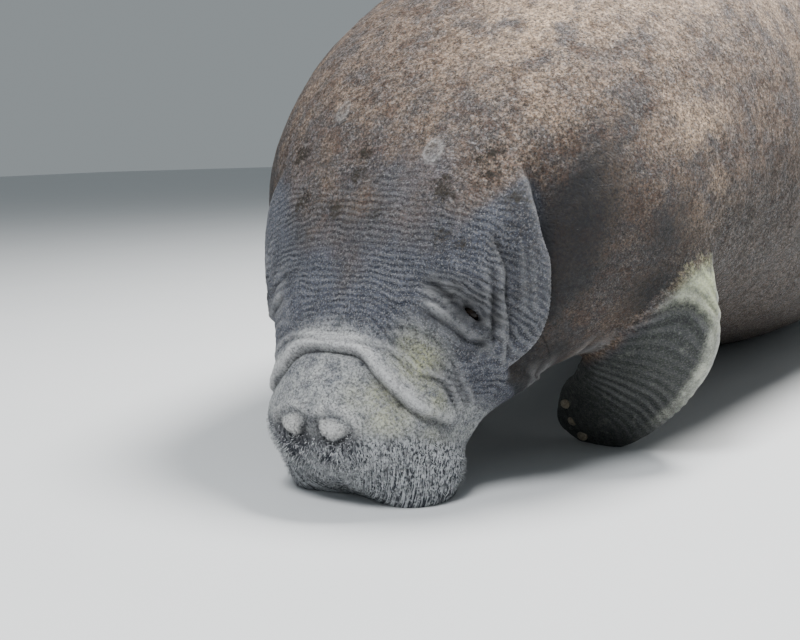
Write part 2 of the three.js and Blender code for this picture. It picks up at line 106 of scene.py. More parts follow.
# The left flipper: centre line, breadth direction, half breadth and half thickness
FLIPPER = np.array([
    [0.105, 0.318, 0.300, 0.70, 0.60, 0.35, 0.050, 0.056],
    [0.175, 0.296, 0.268, 0.72, 0.62, 0.20, 0.052, 0.052],
    [0.224, 0.274, 0.216, 0.78, 0.55, -0.13, 0.060, 0.044],
    [0.228, 0.270, 0.156, 0.80, 0.48, -0.30, 0.068, 0.035],
    [0.196, 0.288, 0.100, 0.75, 0.40, -0.50, 0.066, 0.026],
    [0.140, 0.318, 0.050, 0.50, 0.25, -0.80, 0.054, 0.019],
    [0.072, 0.352, 0.023, 0.38, 0.08, -0.90, 0.046, 0.013],
])
RIGHT_FLIPPER_SHIFT = np.array([-0.012, 0.040, 0])
FLIPPER_TIP, FLIPPER_TIP_POWER = 0.84, 2.4

# Colours, in linear light
HEAD_GREY, HEAD_PALE = (0.036, 0.045, 0.072), (0.102, 0.115, 0.158)
MUZZLE_GREY, MUZZLE_PALE = (0.120, 0.134, 0.162), (0.560, 0.575, 0.570)
OLIVE, YELLOW_GREEN = (0.560, 0.570, 0.310), (0.640, 0.700, 0.380)
BACK_GREY, BACK_TAN, BACK_RED = (0.160, 0.136, 0.128), (0.350, 0.240, 0.165), (0.350, 0.185, 0.125)
# Pale patches with painted highlight on the back, darker lower sides with painted shade, and painted shade
PALE_TAN_AND_HIGHLIGHT, FLANK_BROWN_AND_SHADE, SHADE_BROWN = (1.000, 0.715, 0.480), (0.054, 0.050, 0.044), (0.009, 0.011, 0.011)
# The flipper's greys, and painted shade with some mud for its lower part
FLIPPER_GREY, FLIPPER_PALE, FLIPPER_MUD_AND_SHADE = (0.260, 0.275, 0.230), (0.580, 0.600, 0.490), (0.016, 0.022, 0.020)
MOTTLE_DARK, MOTTLE_PALE = (0.018, 0.019, 0.026), (0.480, 0.480, 0.485)
GRAIN_BROWN, GRAIN_RUST, GRAIN_PALE = (0.036, 0.028, 0.022), (0.230, 0.110, 0.075), (0.480, 0.400, 0.320)
CLUMP_BROWN = (0.050, 0.040, 0.026)
# The bristle zone's dark and pale, with painted shade in its gaps and painted highlight on its knobs
KNOB_DARK_AND_SHADE, KNOB_PALE_AND_HIGHLIGHT = (0.022, 0.027, 0.042), (0.780, 0.800, 0.830)
# Pale valves and scars with painted highlight on the nostrils' hoods, painted highlight for crests and the
# muzzle's roll, and painted shade for folds
PALE_SKIN_AND_HIGHLIGHT, CREST_HIGHLIGHT, FOLD_SHADE = (0.780, 0.770, 0.750), (0.640, 0.645, 0.650), (0.010, 0.010, 0.015)


def smooth(table, s):
    """A smooth curve through the rows of table, one array for each column after the first."""
    x = table[:, 0]
    s = np.clip(s, x[0], x[-1])
    i = np.clip(np.searchsorted(x, s, side="right") - 1, 0, len(x) - 2)
    h = np.diff(x)
    t = (s - x[i]) / h[i]
    out = []
    for y in table.T[1:]:
        rise = np.diff(y) / h
        inner = (rise[:-1] * h[1:] + rise[1:] * h[:-1]) / (h[1:] + h[:-1])
        slope = np.concatenate([rise[:1], inner, rise[-1:]])
        a = y[i] * (2 * t**3 - 3 * t**2 + 1) + slope[i] * h[i] * (t**3 - 2 * t**2 + t)
        b = y[i + 1] * (3 * t**2 - 2 * t**3) + slope[i + 1] * h[i] * (t**3 - t**2)
        out.append(a + b)
    return out


def ease(x, low, high):
    """0 below low, 1 above high, smooth between; low may be the larger."""
    t = np.clip((x - low) / (high - low), 0, 1)
    return t * t * (3 - 2 * t)


def bell(x, width):
    """1 where x is 0, falling off on both sides."""
    return np.exp(-((x / width) ** 2))


def run_along(line):
    """Distance along a line to each of its points."""
    return np.concatenate([[0], np.cumsum(np.linalg.norm(np.diff(line, axis=0), axis=1))])


def along_edge(table, degrees):
    """Where an edge given by degrees round and s in millimetres stands, in metres."""
    return np.interp(np.abs(degrees), table[:, 0], table[:, 1]) / 1000


def on_section(s, degrees):
    """Points of the plain straight body."""
    wide, up, down, square = smooth(STATIONS, s)
    ahead = np.clip(1 - s / MUZZLE_CAP, 0, 1)
    nose = (1 - ahead**MUZZLE_CAP_POWER) ** (1 / MUZZLE_CAP_POWER)
    behind = np.clip((s - FLUKE_CAP) / (LENGTH - FLUKE_CAP), 0, 1)
    narrow = np.sqrt(1 - behind**FLUKE_WIDE_POWER)
    thin = np.sqrt(1 - behind**FLUKE_THICK_POWER)
    c, d = np.sin(np.radians(degrees)), np.cos(np.radians(degrees))
    x = wide * nose * narrow * np.sign(c) * np.abs(c) ** (2 / square)
    n = np.where(d > 0, up, down) * nose * thin * np.sign(d) * np.abs(d) ** (2 / square)
    return np.stack([x, s + 0 * x, n], axis=-1)


def on_skin(places):
    """Points of the straight body at places given in millimetres and degrees."""
    places = np.array(places, float)
    return on_section(places[..., 0] / 1000, places[..., 1])


def inside_box(points, low, high):
    return np.where(np.all((points > low) & (points < high), axis=1))[0]


def gap_to(points, place):
    """Distance of each point from a place on the skin."""
    return np.linalg.norm(points - on_skin([place])[0], axis=1)


AXIS_STEPS = 1501
axis_s = np.linspace(0, LENGTH, AXIS_STEPS)
axis_slope = np.radians(smooth(SLOPES, axis_s)[0])
axis_turn = np.radians(TURN * (1 - ease(axis_s, TURN_FROM, TURN_TO)))


def directions(slope, turn):
    """Back along the axis, to the animal's left, and up from the axis."""
    level = np.cos(slope)
    back = np.stack([np.sin(turn) * level, np.cos(turn) * level, np.sin(slope)], axis=-1)
    left = np.stack([np.cos(turn), -np.sin(turn), 0 * turn], axis=-1)
    return back, left, np.cross(left, back)


def axis_points():
    back = directions(axis_slope, axis_turn)[0]
    moves = (back[1:] + back[:-1]) / 2 * (LENGTH / (AXIS_STEPS - 1))
    points = np.concatenate([[[0, 0, NOSE_HEIGHT]], [0, 0, NOSE_HEIGHT] + np.cumsum(moves, axis=0)])
    points[:, 0] -= points[-1, 0]
    return points + [0, ORIGIN_Y, 0]


axis_place = axis_points()


def bend(points):
    """From the straight body to the pose."""
    s = np.clip(points[:, 1], 0, LENGTH)
    back, left, up = directions(np.interp(s, axis_s, axis_slope), np.interp(s, axis_s, axis_turn))
    centre = np.stack([np.interp(s, axis_s, axis_place[:, k]) for k in range(3)], axis=1)
    return centre + left * points[:, :1] + up * points[:, 2:] + back * (points[:, 1:2] - s[:, None])


def rest_on_floor(points):
    points[:, 2] = np.maximum(points[:, 2], 0)
    return points


# Smooth random fields

HASH_X, HASH_Y, HASH_Z, HASH_MIX, HASH_MASK = 374761393, 668265263, 1440662683, 1274126177, 0xFFFFFFFF


def corner_value(ix, iy, iz, seed):
    h = (ix * HASH_X + iy * HASH_Y + iz * HASH_Z + seed * HASH_MIX) & HASH_MASK
    h = ((h ^ (h >> 13)) * HASH_MIX) & HASH_MASK
    return ((h ^ (h >> 16)) & 0xFFFF) / 32767.5 - 1


def noise(points, seed=0):
    """A smooth random value between -1 and 1 for each point, with one bump for each unit."""
    base = np.floor(points).astype(np.int64)
    t = points - base
    t = t * t * (3 - 2 * t)
    total = 0
    for dx in (0, 1):
        for dy in (0, 1):
            for dz in (0, 1):
                weight = np.ones(len(points))
                for k, d in enumerate((dx, dy, dz)):
                    weight = weight * (t[:, k] if d else 1 - t[:, k])
                total = total + weight * corner_value(base[:, 0] + dx, base[:, 1] + dy, base[:, 2] + dz, seed)
    return total


def layered(points, octaves, seed=0):
    return sum(noise(points * 2**k, seed + k) / 2**k for k in range(octaves))


def flat_noise(across, along, seed):
    """Noise on a plane."""
    return noise(np.stack([across, along, 0 * across], axis=1), seed)


# The grid of the skin: rings along s and columns round the body, closer at the eyes and nostrils

HALF_COLUMNS = 200
RING_SPANS = [
    (0.060, 0.135, 0.0018), (0.135, 0.200, 0.0013), (0.200, 0.300, 0.0020), (0.300, 0.420, 0.0040),
    (0.420, 0.560, 0.0080), (0.560, 2.400, 0.0130), (2.400, 2.900, 0.0100),
]
CAP_RINGS, CAP_START = 48, 0.09
END_RINGS, END_GAP = 22, 0.0012
FINE_COLUMNS, SECTION_STEPS = 801, 721
# How the columns crowd: share of the way round the half ring, reach and strength
COLUMN_CROWDS = ((0.080, 0.070, 1.3), (0.315, 0.055, 2.4))
COLUMNS_THIN_FROM, COLUMNS_THIN_TO, COLUMNS_THINNED = 0.55, 0.75, 0.45


def ring_places():
    cap = MUZZLE_CAP * (1 - np.cos(np.linspace(CAP_START, math.pi / 2, CAP_RINGS, endpoint=False)))
    spans = [np.arange(low, high, step) for low, high, step in RING_SPANS]
    last = RING_SPANS[-1][1]
    end = last + (LENGTH - END_GAP - last) * np.sin(np.linspace(0, math.pi / 2, END_RINGS))
    return np.concatenate([cap] + spans + [end])


def column_fractions():
    """How far round the half ring each column stands."""
    f = np.linspace(0, 1, FINE_COLUMNS)
    crowd = 1 + sum(strength * bell(f - place, reach) for place, reach, strength in COLUMN_CROWDS)
    crowd -= COLUMNS_THINNED * ease(f, COLUMNS_THIN_FROM, COLUMNS_THIN_TO)
    run = np.concatenate([[0], np.cumsum((crowd[1:] + crowd[:-1]) / 2)])
    return np.interp(np.linspace(0, run[-1], HALF_COLUMNS + 1), run, f)


def straight_grid():
    """Rings by columns: s, degrees round, distance round from the back, and the points."""
    wanted = column_fractions()
    fine = np.linspace(0, 180, SECTION_STEPS)
    s, degrees, around = [], [], []
    for place in ring_places():
        run = run_along(on_section(np.full(len(fine), place), fine))
        distance = wanted * run[-1]
        angle = np.interp(distance, run, fine)
        degrees.append(np.concatenate([angle, -angle[-2:0:-1]]))
        around.append(np.concatenate([distance, -distance[-2:0:-1]]))
        s.append(np.full(2 * HALF_COLUMNS, place))
    s, degrees, around = np.array(s), np.array(degrees), np.array(around)
    return s, degrees, around, on_section(s, degrees)


def grid_normals(points):
    """Outward normals of a grid of rings."""
    along = np.gradient(points, axis=0)
    ahead, behind = np.roll(points, -1, axis=1), np.roll(points, 1, axis=1)
    normal = np.cross(ahead - behind, along)
    length = np.linalg.norm(normal, axis=-1, keepdims=True)
    return normal / np.maximum(length, 1e-12)


# Folds of the left side, mirrored to the right. A groove has its depth and width and the rise of
# the skin in front of it and behind. A step has its height and reach on the side that stands
# proud, its depth and reach on the other, and the width of the edge; its turned value is -1
# where the side behind stands proud. Each has a flag for each end that fades, and its places.

DEEP_FOLD = [(110, 0), (108, 7), (106, 14), (99, 21), (92, 27), (85, 35), (79, 44), (75, 52), (71, 61),
             (71, 72), (75, 83), (82, 92), (94, 101)]
GROOVES = [
    # The deep fold over the muzzle's front, and the lines on the roll above it
    (0.0066, 0.0034, 0.0004, 0.0020, (0, 1), DEEP_FOLD),
    (0.0038, 0.0080, 0.0004, 0.0006, (1, 1), [(96, 24), (88, 30), (81, 37), (75, 45), (71, 53), (67, 62)]),
    (0.0024, 0.0022, 0.0004, 0.0014, (0, 1),
     [(117, 0), (117, 10), (118, 20), (116, 29), (113, 38), (107, 47), (97, 52), (90, 54)]),
    (0.0014, 0.0022, 0.0010, 0.0004, (1, 1),
     [(136, 18), (140, 30), (142, 39), (140, 47), (136, 55), (129, 67), (124, 76), (117, 86), (110, 94)]),
    (0.0046, 0.0021, 0.0008, 0.0014, (1, 1), [(130, 66), (120, 79), (113, 91), (107, 100)]),
    (0.0042, 0.0021, 0.0012, 0.0008, (1, 1), [(123, 68), (115, 80), (108, 91), (103, 100)]),
    (0.0016, 0.0017, 0.0006, 0.0004, (1, 1), [(124, 34), (124, 44), (120, 54), (114, 62), (108, 70)]),
    # The lobe with the pores, between two folds
    (0.0040, 0.0026, 0.0010, 0.0016, (1, 1),
     [(97, 50), (104, 57), (107, 66), (106, 76), (101, 86), (94, 95)]),
    # Folds into the eye's corners and round its lids
    (0.0068, 0.0032, 0.0012, 0.0008, (1, 0), [(185, 28), (183, 35), (179, 42), (174, 48), (173, 55)]),
    (0.0072, 0.0032, 0.0004, 0.0022, (1, 1),
     [(163, 30), (160, 38), (157, 46), (153, 56), (151, 63), (152, 68), (156, 74), (161, 78)]),
    # The upright fold behind the eye and small folds on the jowl
    (0.0072, 0.0034, 0.0010, 0.0008, (1, 1),
     [(221, 47), (207, 54), (192, 61), (178, 68), (168, 73), (161, 78), (153, 82)]),
    (0.0024, 0.0018, 0.0012, 0.0004, (1, 1), [(176, 74), (170, 80), (162, 87), (152, 93)]),
    (0.0014, 0.0020, 0.0006, 0.0006, (1, 1), [(246, 54), (233, 60), (218, 67), (203, 74), (190, 81)]),
    # Under the throat
    (0.0040, 0.0060, 0.0015, 0.0015, (1, 1), [(196, 112), (186, 128), (180, 146), (178, 164), (177, 180)]),
    (0.0040, 0.0070, 0.0015, 0.0015, (1, 1), [(268, 118), (258, 132), (252, 148), (250, 164), (249, 180)]),
]
STEPS = [
    # The roll over the muzzle's deep fold
    (0.0062, 0.0120, 0.0036, 0.0100, 0.0014, -1, (0, 1), DEEP_FOLD),
    # The narrow ridge behind the eye
    (0.0040, 0.0055, 0.0070, 0.0150, 0.0012, 1, (1, 1),
     [(246, 40), (234, 45), (224, 51), (214, 57), (204, 61), (195, 65), (184, 72), (174, 79), (163, 86),
      (154, 91)]),
    # The jowl's edge, with the neck behind it
    (0.0070, 0.0260, 0.0300, 0.0700, 0.0022, 1, (1, 1),
     [(302, 34), (297, 38), (288, 44), (276, 49), (263, 55), (252, 61), (242, 68), (230, 74), (218, 81),
      (204, 87), (190, 91), (174, 93), (156, 94), (138, 97)]),
]

# Pores on the lobe, as very short grooves
PORES, PORE_DEPTH, PORE_WIDTH = ((84, 70), (88, 74), (79, 75)), 0.0030, 0.0013
for s, degrees in PORES:
    GROOVES.append((PORE_DEPTH, PORE_WIDTH, 0, 0, (0, 0), [(s, degrees), (s + 1, degrees)]))

# Fine lines round the eye: between each pair of lines stand this many, this deep and wide
LID_LINES = [
    (4, 0.0017, 0.0013, [(200, 38), (191, 46), (185, 53), (179, 60), (175, 67)],
     [(186, 29), (182, 38), (178, 45), (175, 50), (173, 54)]),
    (3, 0.0011, 0.0012, [(179, 27), (175, 36), (171, 44), (167, 50), (165, 55)],
     [(168, 28), (164, 37), (161, 45), (158, 52), (156, 60)]),
    (3, 0.0015, 0.0013, [(159, 26), (156, 36), (152, 45), (148, 55), (147, 64)],
     [(150, 24), (149, 36), (147, 46), (143, 56), (140, 66)]),
    (3, 0.0017, 0.0013, [(184, 62), (178, 66), (171, 69), (164, 71), (159, 71)],
     [(179, 62), (174, 64), (168, 65), (163, 65), (159, 64)]),
]
LID_RISE = 0.0005
for count, depth, width, first, last in LID_LINES:
    for share in np.linspace(0, 1, count):
        between_them = np.array(first) * (1 - share) + np.array(last) * share
        GROOVES.append((depth, width, LID_RISE, LID_RISE, (1, 1), between_them))

# Swellings: place, reach along the skin and height in millimetres
SWELLINGS = [
    ((66, 0), 36, 6.0), ((92, 71), 17, 5.0), ((118, 52), 20, 3.0), ((52, 100), 26, 4.0),
    ((22, 128), 45, 20.0), ((12, 106), 32, 11.0), ((14, 175), 45, 12.0), ((187, 47), 14, 3.5),
    ((162, 64), 11, 3.5), ((222, 68), 26, 4.0), ((198, 82), 26, 4.0),
]


def resampled(points, step=0.005):
    """The same line through points close together, rounded at its corners."""
    points = np.array(points)
    curve = []
    padded = np.concatenate([[2 * points[0] - points[1]], points, [2 * points[-1] - points[-2]]])
    for a, b, c, d in zip(padded, padded[1:], padded[2:], padded[3:]):
        count = max(2, int(np.linalg.norm(c - b) / step))
        t = np.linspace(0, 1, count, endpoint=False)[:, None]
        curve.append(0.5 * (2 * b + (c - a) * t + (2 * a - 5 * b + 4 * c - d) * t**2
                            + (3 * b - a - 3 * c + d) * t**3))
    return np.concatenate(curve + [points[-1:]])


def nearest_on_line(points, line):
    """For each point: offset from the line's nearest point, direction there, and how far along it is."""
    best = np.full(len(points), np.inf)
    offset = np.zeros_like(points)
    direction = np.zeros_like(points)
    along = np.zeros(len(points))
    run = run_along(line)
    for i, (a, b) in enumerate(zip(line, line[1:])):
        piece = b - a
        t = np.clip((points - a) @ piece / (piece @ piece), 0, 1)
        away = points - a - t[:, None] * piece
        gap = (away**2).sum(1)
        closer = gap < best
        best[closer] = gap[closer]
        offset[closer] = away[closer]
        direction[closer] = piece / np.linalg.norm(piece)
        along[closer] = (run[i] + t[closer] * (run[i + 1] - run[i])) / run[-1]
    return offset, direction, along


def near_line(points, normals, places, reach):
    """Points within reach of a line on the skin: which, how far in front of it, and how far along."""
    line = resampled(on_skin(places))
    near = inside_box(points, line.min(0) - reach, line.max(0) + reach)
    if not len(near):
        return near, np.zeros(0), np.zeros(0)
    offset, direction, along = nearest_on_line(points[near], line)
    side = np.einsum("ij,ij->i", np.cross(normals[near], direction), offset)
    return near, np.where(side > 0, -1, 1) * np.linalg.norm(offset, axis=1), along


# Share of a line over which an end fades
END_FADE = 0.22


def fade_ends(along, fades):
    fade = np.ones(len(along))
    if fades[0]:
        fade *= ease(along, 0, END_FADE)
    if fades[1]:
        fade *= ease(along, 1, 1 - END_FADE)
    return fade


# How many widths away a groove or step still counts
GROOVE_REACH, STEP_REACH = 5, 4
# How round a groove's pit is, how uneven its depth is, and where its risen sides stand, in widths
PIT_POWER, GROOVE_UNEVEN, SIDE_AT, SIDE_REACH = 1.4, 0.30, 2.2, 1.4
# Depth of a groove that is fully dark with painted shade, and rise of a side that is fully pale with painted
# highlight
DARK_DEPTH, LIGHT_RISE = 0.0045, 0.0020
# A step's foot, darkened with painted shade, and its crest, paled with painted highlight
FOOT_REACH, CREST_REACH, CREST_SHARE = 0.35, 2.2, 0.8


def add_groove(points, normals, height, dark, light, groove):
    depth, width, front_rise, back_rise, fades, places = groove
    near, signed, along = near_line(points, normals, places, GROOVE_REACH * width)
    fade = fade_ends(along, fades)
    fade *= 1 - GROOVE_UNEVEN / 2 + GROOVE_UNEVEN * noise(points[near] * 70, 53)
    gap = np.abs(signed)
    pit = np.exp(-((gap / width) ** PIT_POWER))
    rise = np.where(signed > 0, front_rise, back_rise) * bell(gap - SIDE_AT * width, SIDE_REACH * width)
    height[near] += fade * (rise - depth * pit)
    # Painted shade in the groove's pit
    dark[near] = np.maximum(dark[near], fade * min(1, depth / DARK_DEPTH) * pit)
    # Painted highlight on the groove's risen sides
    light[near] = np.maximum(light[near], fade * np.minimum(1, rise / LIGHT_RISE))


def add_step(points, normals, height, dark, light, step):
    rise, rise_reach, fall, fall_reach, edge, turned, fades, places = step
    near, signed, along = near_line(points, normals, places, STEP_REACH * max(rise_reach, fall_reach))
    fade = fade_ends(along, fades)
    signed = signed * turned
    above, below = np.maximum(signed, 0), np.maximum(-signed, 0)
    proud = 0.5 + 0.5 * np.tanh(signed / edge)
    height[near] += fade * (proud * rise * np.exp(-above / rise_reach)
                            - (1 - proud) * fall * np.exp(-below / fall_reach))
    # Painted shade on the low side of the step
    foot_shade = (1 - proud) * np.exp(-below / (FOOT_REACH * fall_reach))
    dark[near] = np.maximum(dark[near], fade * foot_shade)
    # Painted highlight on the proud edge of the step
    crest_highlight = proud * np.exp(-above / (CREST_REACH * edge))
    light[near] = np.maximum(light[near], fade * CREST_SHARE * crest_highlight)


def skin_axes(place, lean=0):
    """Centre on the skin, and the leaning directions round the body and along it."""
    s, degrees = place
    centre = on_skin([place])[0]
    along = on_skin([(s + 4, degrees)])[0] - on_skin([(s - 4, degrees)])[0]
    around = on_skin([(s, degrees + 2)])[0] - on_skin([(s, degrees - 2)])[0]
    out = np.cross(around, along)
    out /= np.linalg.norm(out)
    around /= np.linalg.norm(around)
    across = np.cross(out, around)
    c, d = math.cos(math.radians(lean)), math.sin(math.radians(lean))
    return centre, around * c + across * d, across * c - around * d


def dome(u, v, half_u, half_v, height):
    return height * np.sqrt(np.clip(1 - (u / half_u) ** 2 - (v / half_v) ** 2, 0, 1))


def nostril_place():
    """Where the nostril's middle is, in millimetres and degrees."""
    degrees = np.linspace(0, 60, 601)
    x = on_section(np.full(len(degrees), NOSTRIL["s"]), degrees)[:, 0]
    return NOSTRIL["s"] * 1000, np.interp(NOSTRIL["side"], x, degrees)


def nostril_fields(points):
    """A pale plump valve in a hollow, hooded above by a soft ridge: height, paleness with a painted highlight
    on the hood, and painted shade round the valve, heaviest below it.
    """
    centre, across, along = skin_axes(nostril_place())
    u, v = (points - centre) @ across, (points - centre) @ along
    near = np.hypot(u, v) < NOSTRIL["reach"]
    half_u, half_v = NOSTRIL["half"]
    lobe_u, lobe_v = NOSTRIL["lobe_at"]
    round_out = np.hypot(u / half_u, v / half_v)
    angle = np.arctan2(v / half_v, u / half_u)
    uneven = 1 + 0.10 * np.sin(3 * angle + 0.6) + 0.10 * noise(points * 160, 49)
    valve = dome(u, v, *NOSTRIL["valve"]) + dome(u - lobe_u, v - lobe_v, *NOSTRIL["lobe"])
    cleft = NOSTRIL["cleft"] * bell(u - NOSTRIL["cleft_at"] + 0.25 * v, NOSTRIL["cleft_width"])
    cleft *= round_out < 1
    ribs = NOSTRIL["rib"] * np.sin(9 * angle + 30 * round_out)
    ribs *= ease(round_out, 0.2, 0.6) * ease(round_out, 1.5, 1.0)
    above = ease(np.sin(angle + 0.2), -0.2, 0.8)
    hollow = (NOSTRIL["hollow"] - 0.0020 * above) * bell(round_out / uneven - 1.12, 0.24)
    hood = NOSTRIL["hood"] * above * bell(round_out - 1.65, 0.34)
    # The pale valve, and painted highlight on the hood above it
    pale = 0.75 * ease(round_out / uneven, 1.10, 0.60) + 0.35 * above * bell(round_out - 1.65, 0.3)
    # Painted shade round the valve, heaviest below it and in a band beneath
    dark = (0.80 - 0.60 * above) * bell(round_out / uneven - 1.14, 0.20)
    dark += 0.75 * (1 - above) * bell(round_out - 1.5, 0.55)
    return near * (valve - cleft + ribs - hollow + hood), near * pale, near * np.minimum(dark, 1)


def eye_fields(points):
    """Lids round a slit onto the eyeball: height, painted shade in the slit and the hollow round it, where
    folds may run, and the hollow's share.
    """
    centre, around, along = skin_axes(EYE["at"], EYE["lean"])
    u, v = (points - centre) @ around, (points - centre) @ along
    half_u, half_v = EYE["slit"]
    edge = np.sqrt(np.abs(u / half_u) ** 1.4 + (v / half_v) ** 2)
    rim = EYE["rim"] * bell(edge - 1.45, 0.35)
    slit = EYE["slit_depth"] * ease(edge, 1.15, 0.75)
    gap = np.hypot(u / 1.25, v)
    rings = 1 - np.abs(np.sin(gap / EYE["ring_step"] + 1.8 * noise(points * 55, 47)))
    rings = EYE["ring_depth"] * rings**1.5 * ease(gap, 0.005, 0.009) * ease(gap, 0.042, 0.024)
    # Painted shade in the slit and in the hollow round the eye
    dark = np.maximum(ease(edge, 1.9, 0.9), 0.58 * bell(gap, 0.020))
    height = dome(u, v, *EYE["lids"]) + rim - slit - rings
    return height, dark, ease(gap, 0.009, 0.019), bell(gap, EYE["hollow"])


def mouth_height(points):
    front, corner = np.array(MOUTH["front"]), np.array(MOUTH["corner"])
    along = (corner - front) / np.linalg.norm(corner - front)
    above = (points[:, 2] - front[1]) * along[0] - (points[:, 1] - front[0]) * along[1]
    fade = ease(points[:, 1], corner[0] + MOUTH["fade"], corner[0] - MOUTH["fade"])
    return -MOUTH["lip"] * fade * bell(above, MOUTH["width"])


# Faint raised rings on the skin: place and radius
RING_SCARS = [((332, -15), 0.0080), ((292, 14), 0.0095), ((470, 28), 0.0070), ((520, -40), 0.0080),
              ((760, 35), 0.0085), ((1150, -20), 0.0090), ((1500, 15), 0.0075), ((1020, 62), 0.0070)]
RING_HEIGHT, RING_WIDTH, RING_PALE = 0.0012, 0.22, 0.45


def scar_fields(points):
    """Height and paleness of the ring scars."""
    height, pale = np.zeros(len(points)), np.zeros(len(points))
    for place, radius in RING_SCARS:
        gap = gap_to(points, place)
        ring = bell(gap - radius, RING_WIDTH * radius)
        height += RING_HEIGHT * ring
        pale = np.maximum(pale, RING_PALE * np.maximum(ring, 0.4 * (gap < radius)))
    return height, pale


def head_fields(points, normals):
    """Folds, swellings and mouth, for points folded to the left side."""
    height, dark, light = np.zeros((3, len(points)))
    for groove in GROOVES:
        add_groove(points, normals, height, dark, light, groove)
    for step in STEPS:
        add_step(points, normals, height, dark, light, step)
    for place, reach, rise in SWELLINGS:
        height += rise / 1000 * bell(gap_to(points, place), reach / 1000)
    return height + mouth_height(points), dark, light


# Edges by degrees round and s in millimetres: the muzzle's fold, the growth's start, the bristles' end
MUZZLE_FOLD = np.array([
    (0, 110), (14, 106), (27, 92), (44, 79), (61, 71), (72, 71), (83, 75), (100, 93), (180, 110),
])
GROWTH_EDGE = np.array([
    (0, 232), (30, 246), (38, 280), (44, 289), (49, 279), (55, 266), (61, 255), (68, 245), (74, 233),
    (81, 221), (87, 207), (91, 193), (93, 177), (95, 158), (102, 145), (125, 150), (180, 170),
])
BRISTLE_EDGE = np.array([(0, 14), (24, 22), (58, 36), (89, 58), (107, 72), (140, 60), (180, 44)])
BRISTLE_FADE = (0.018, 0.014)

# Spacing of the face's wrinkles, and the depth of all wrinkles and lumps
FACE_WRINKLE = 0.0056
FACE_DEPTH, NECK_DEPTH, TAIL_DEPTH = 0.0009, 0.0007, 0.0020
LUMPS, FINE_LUMPS, PEBBLES, KNOBS = 0.0022, 0.0007, 0.00035, 0.0009


def ridged(phase):
    """1 on round ridges and 0 in narrow valleys."""
    return np.abs(np.sin(phase))


def wrinkle_fields(points, s, degrees, around):
    """Wrinkles round the head and muzzle, broad ones on neck and tail, and lumpy old skin.

    Returns the height, how strong the fine wrinkles are, and the coordinate that they follow."""
    fold = along_edge(MUZZLE_FOLD, degrees)
    beyond = s - fold
    drift = 0.0036 * noise(points * 30, 5) + 0.0018 * noise(points * 110, 6)
    follow = s - ease(s, 0.185, 0.120) * (fold - 0.110) + drift
    face = ease(beyond, 0.004, 0.012) * ease(s, 0.330, 0.235) * ease(np.abs(degrees), 120, 95)
    face *= 1 - ease(s - along_edge(GROWTH_EDGE, degrees), -0.002, 0.008) * ease(np.abs(degrees), 36, 46)
    disc = 0.35 * ease(beyond, -0.004, -0.012) * ease(s, 0.012, 0.030)
    strength = (face + disc) * (0.55 + 0.45 * noise(points * 45, 7))
    height = -FACE_DEPTH * strength * (1 - ridged(math.pi * follow / FACE_WRINKLE))
    neck = ease(s, 0.24, 0.36) * ease(s, 0.95, 0.50)
    height -= NECK_DEPTH * neck * (1 - np.abs(flat_noise(around * 6, (s + 3 * drift) * 38, 17))) ** 3
    tail = ease(s, 1.9, 2.2) * ease(s, 2.75, 2.45)
    height -= TAIL_DEPTH * tail * (1 - np.abs(flat_noise(around * 5, s * 30, 23))) ** 3
    lumpy = LUMPS * layered(points * 9, 3, 31) + FINE_LUMPS * layered(points * 60, 2, 35)
    height += ease(s, 0.22, 0.50) * lumpy
    height += PEBBLES * ease(s, 0.40, 0.30) * noise(points * 300, 37)
    return height, strength, follow


def bristle_zone(s, degrees):
    """The blunt front of the lips, below a line that runs from the nostrils back to the lips' sides."""
    limit = along_edge(BRISTLE_EDGE, degrees)
    return ease(s, limit + BRISTLE_FADE[0], limit - BRISTLE_FADE[1])


# The head's forms end here, its folds waver by this much, and the right of the neck is smoother
HEAD_END, WAVER = 0.45, 0.0018
RIGHT_SMOOTHER, RIGHT_FROM, RIGHT_TO = 0.65, 0.20, 0.25
# Behind the muzzle's rounded front the forms move the skin less along s
LEVEL_RINGS, LEVEL_SHARE = (0.060, 0.110), 0.6


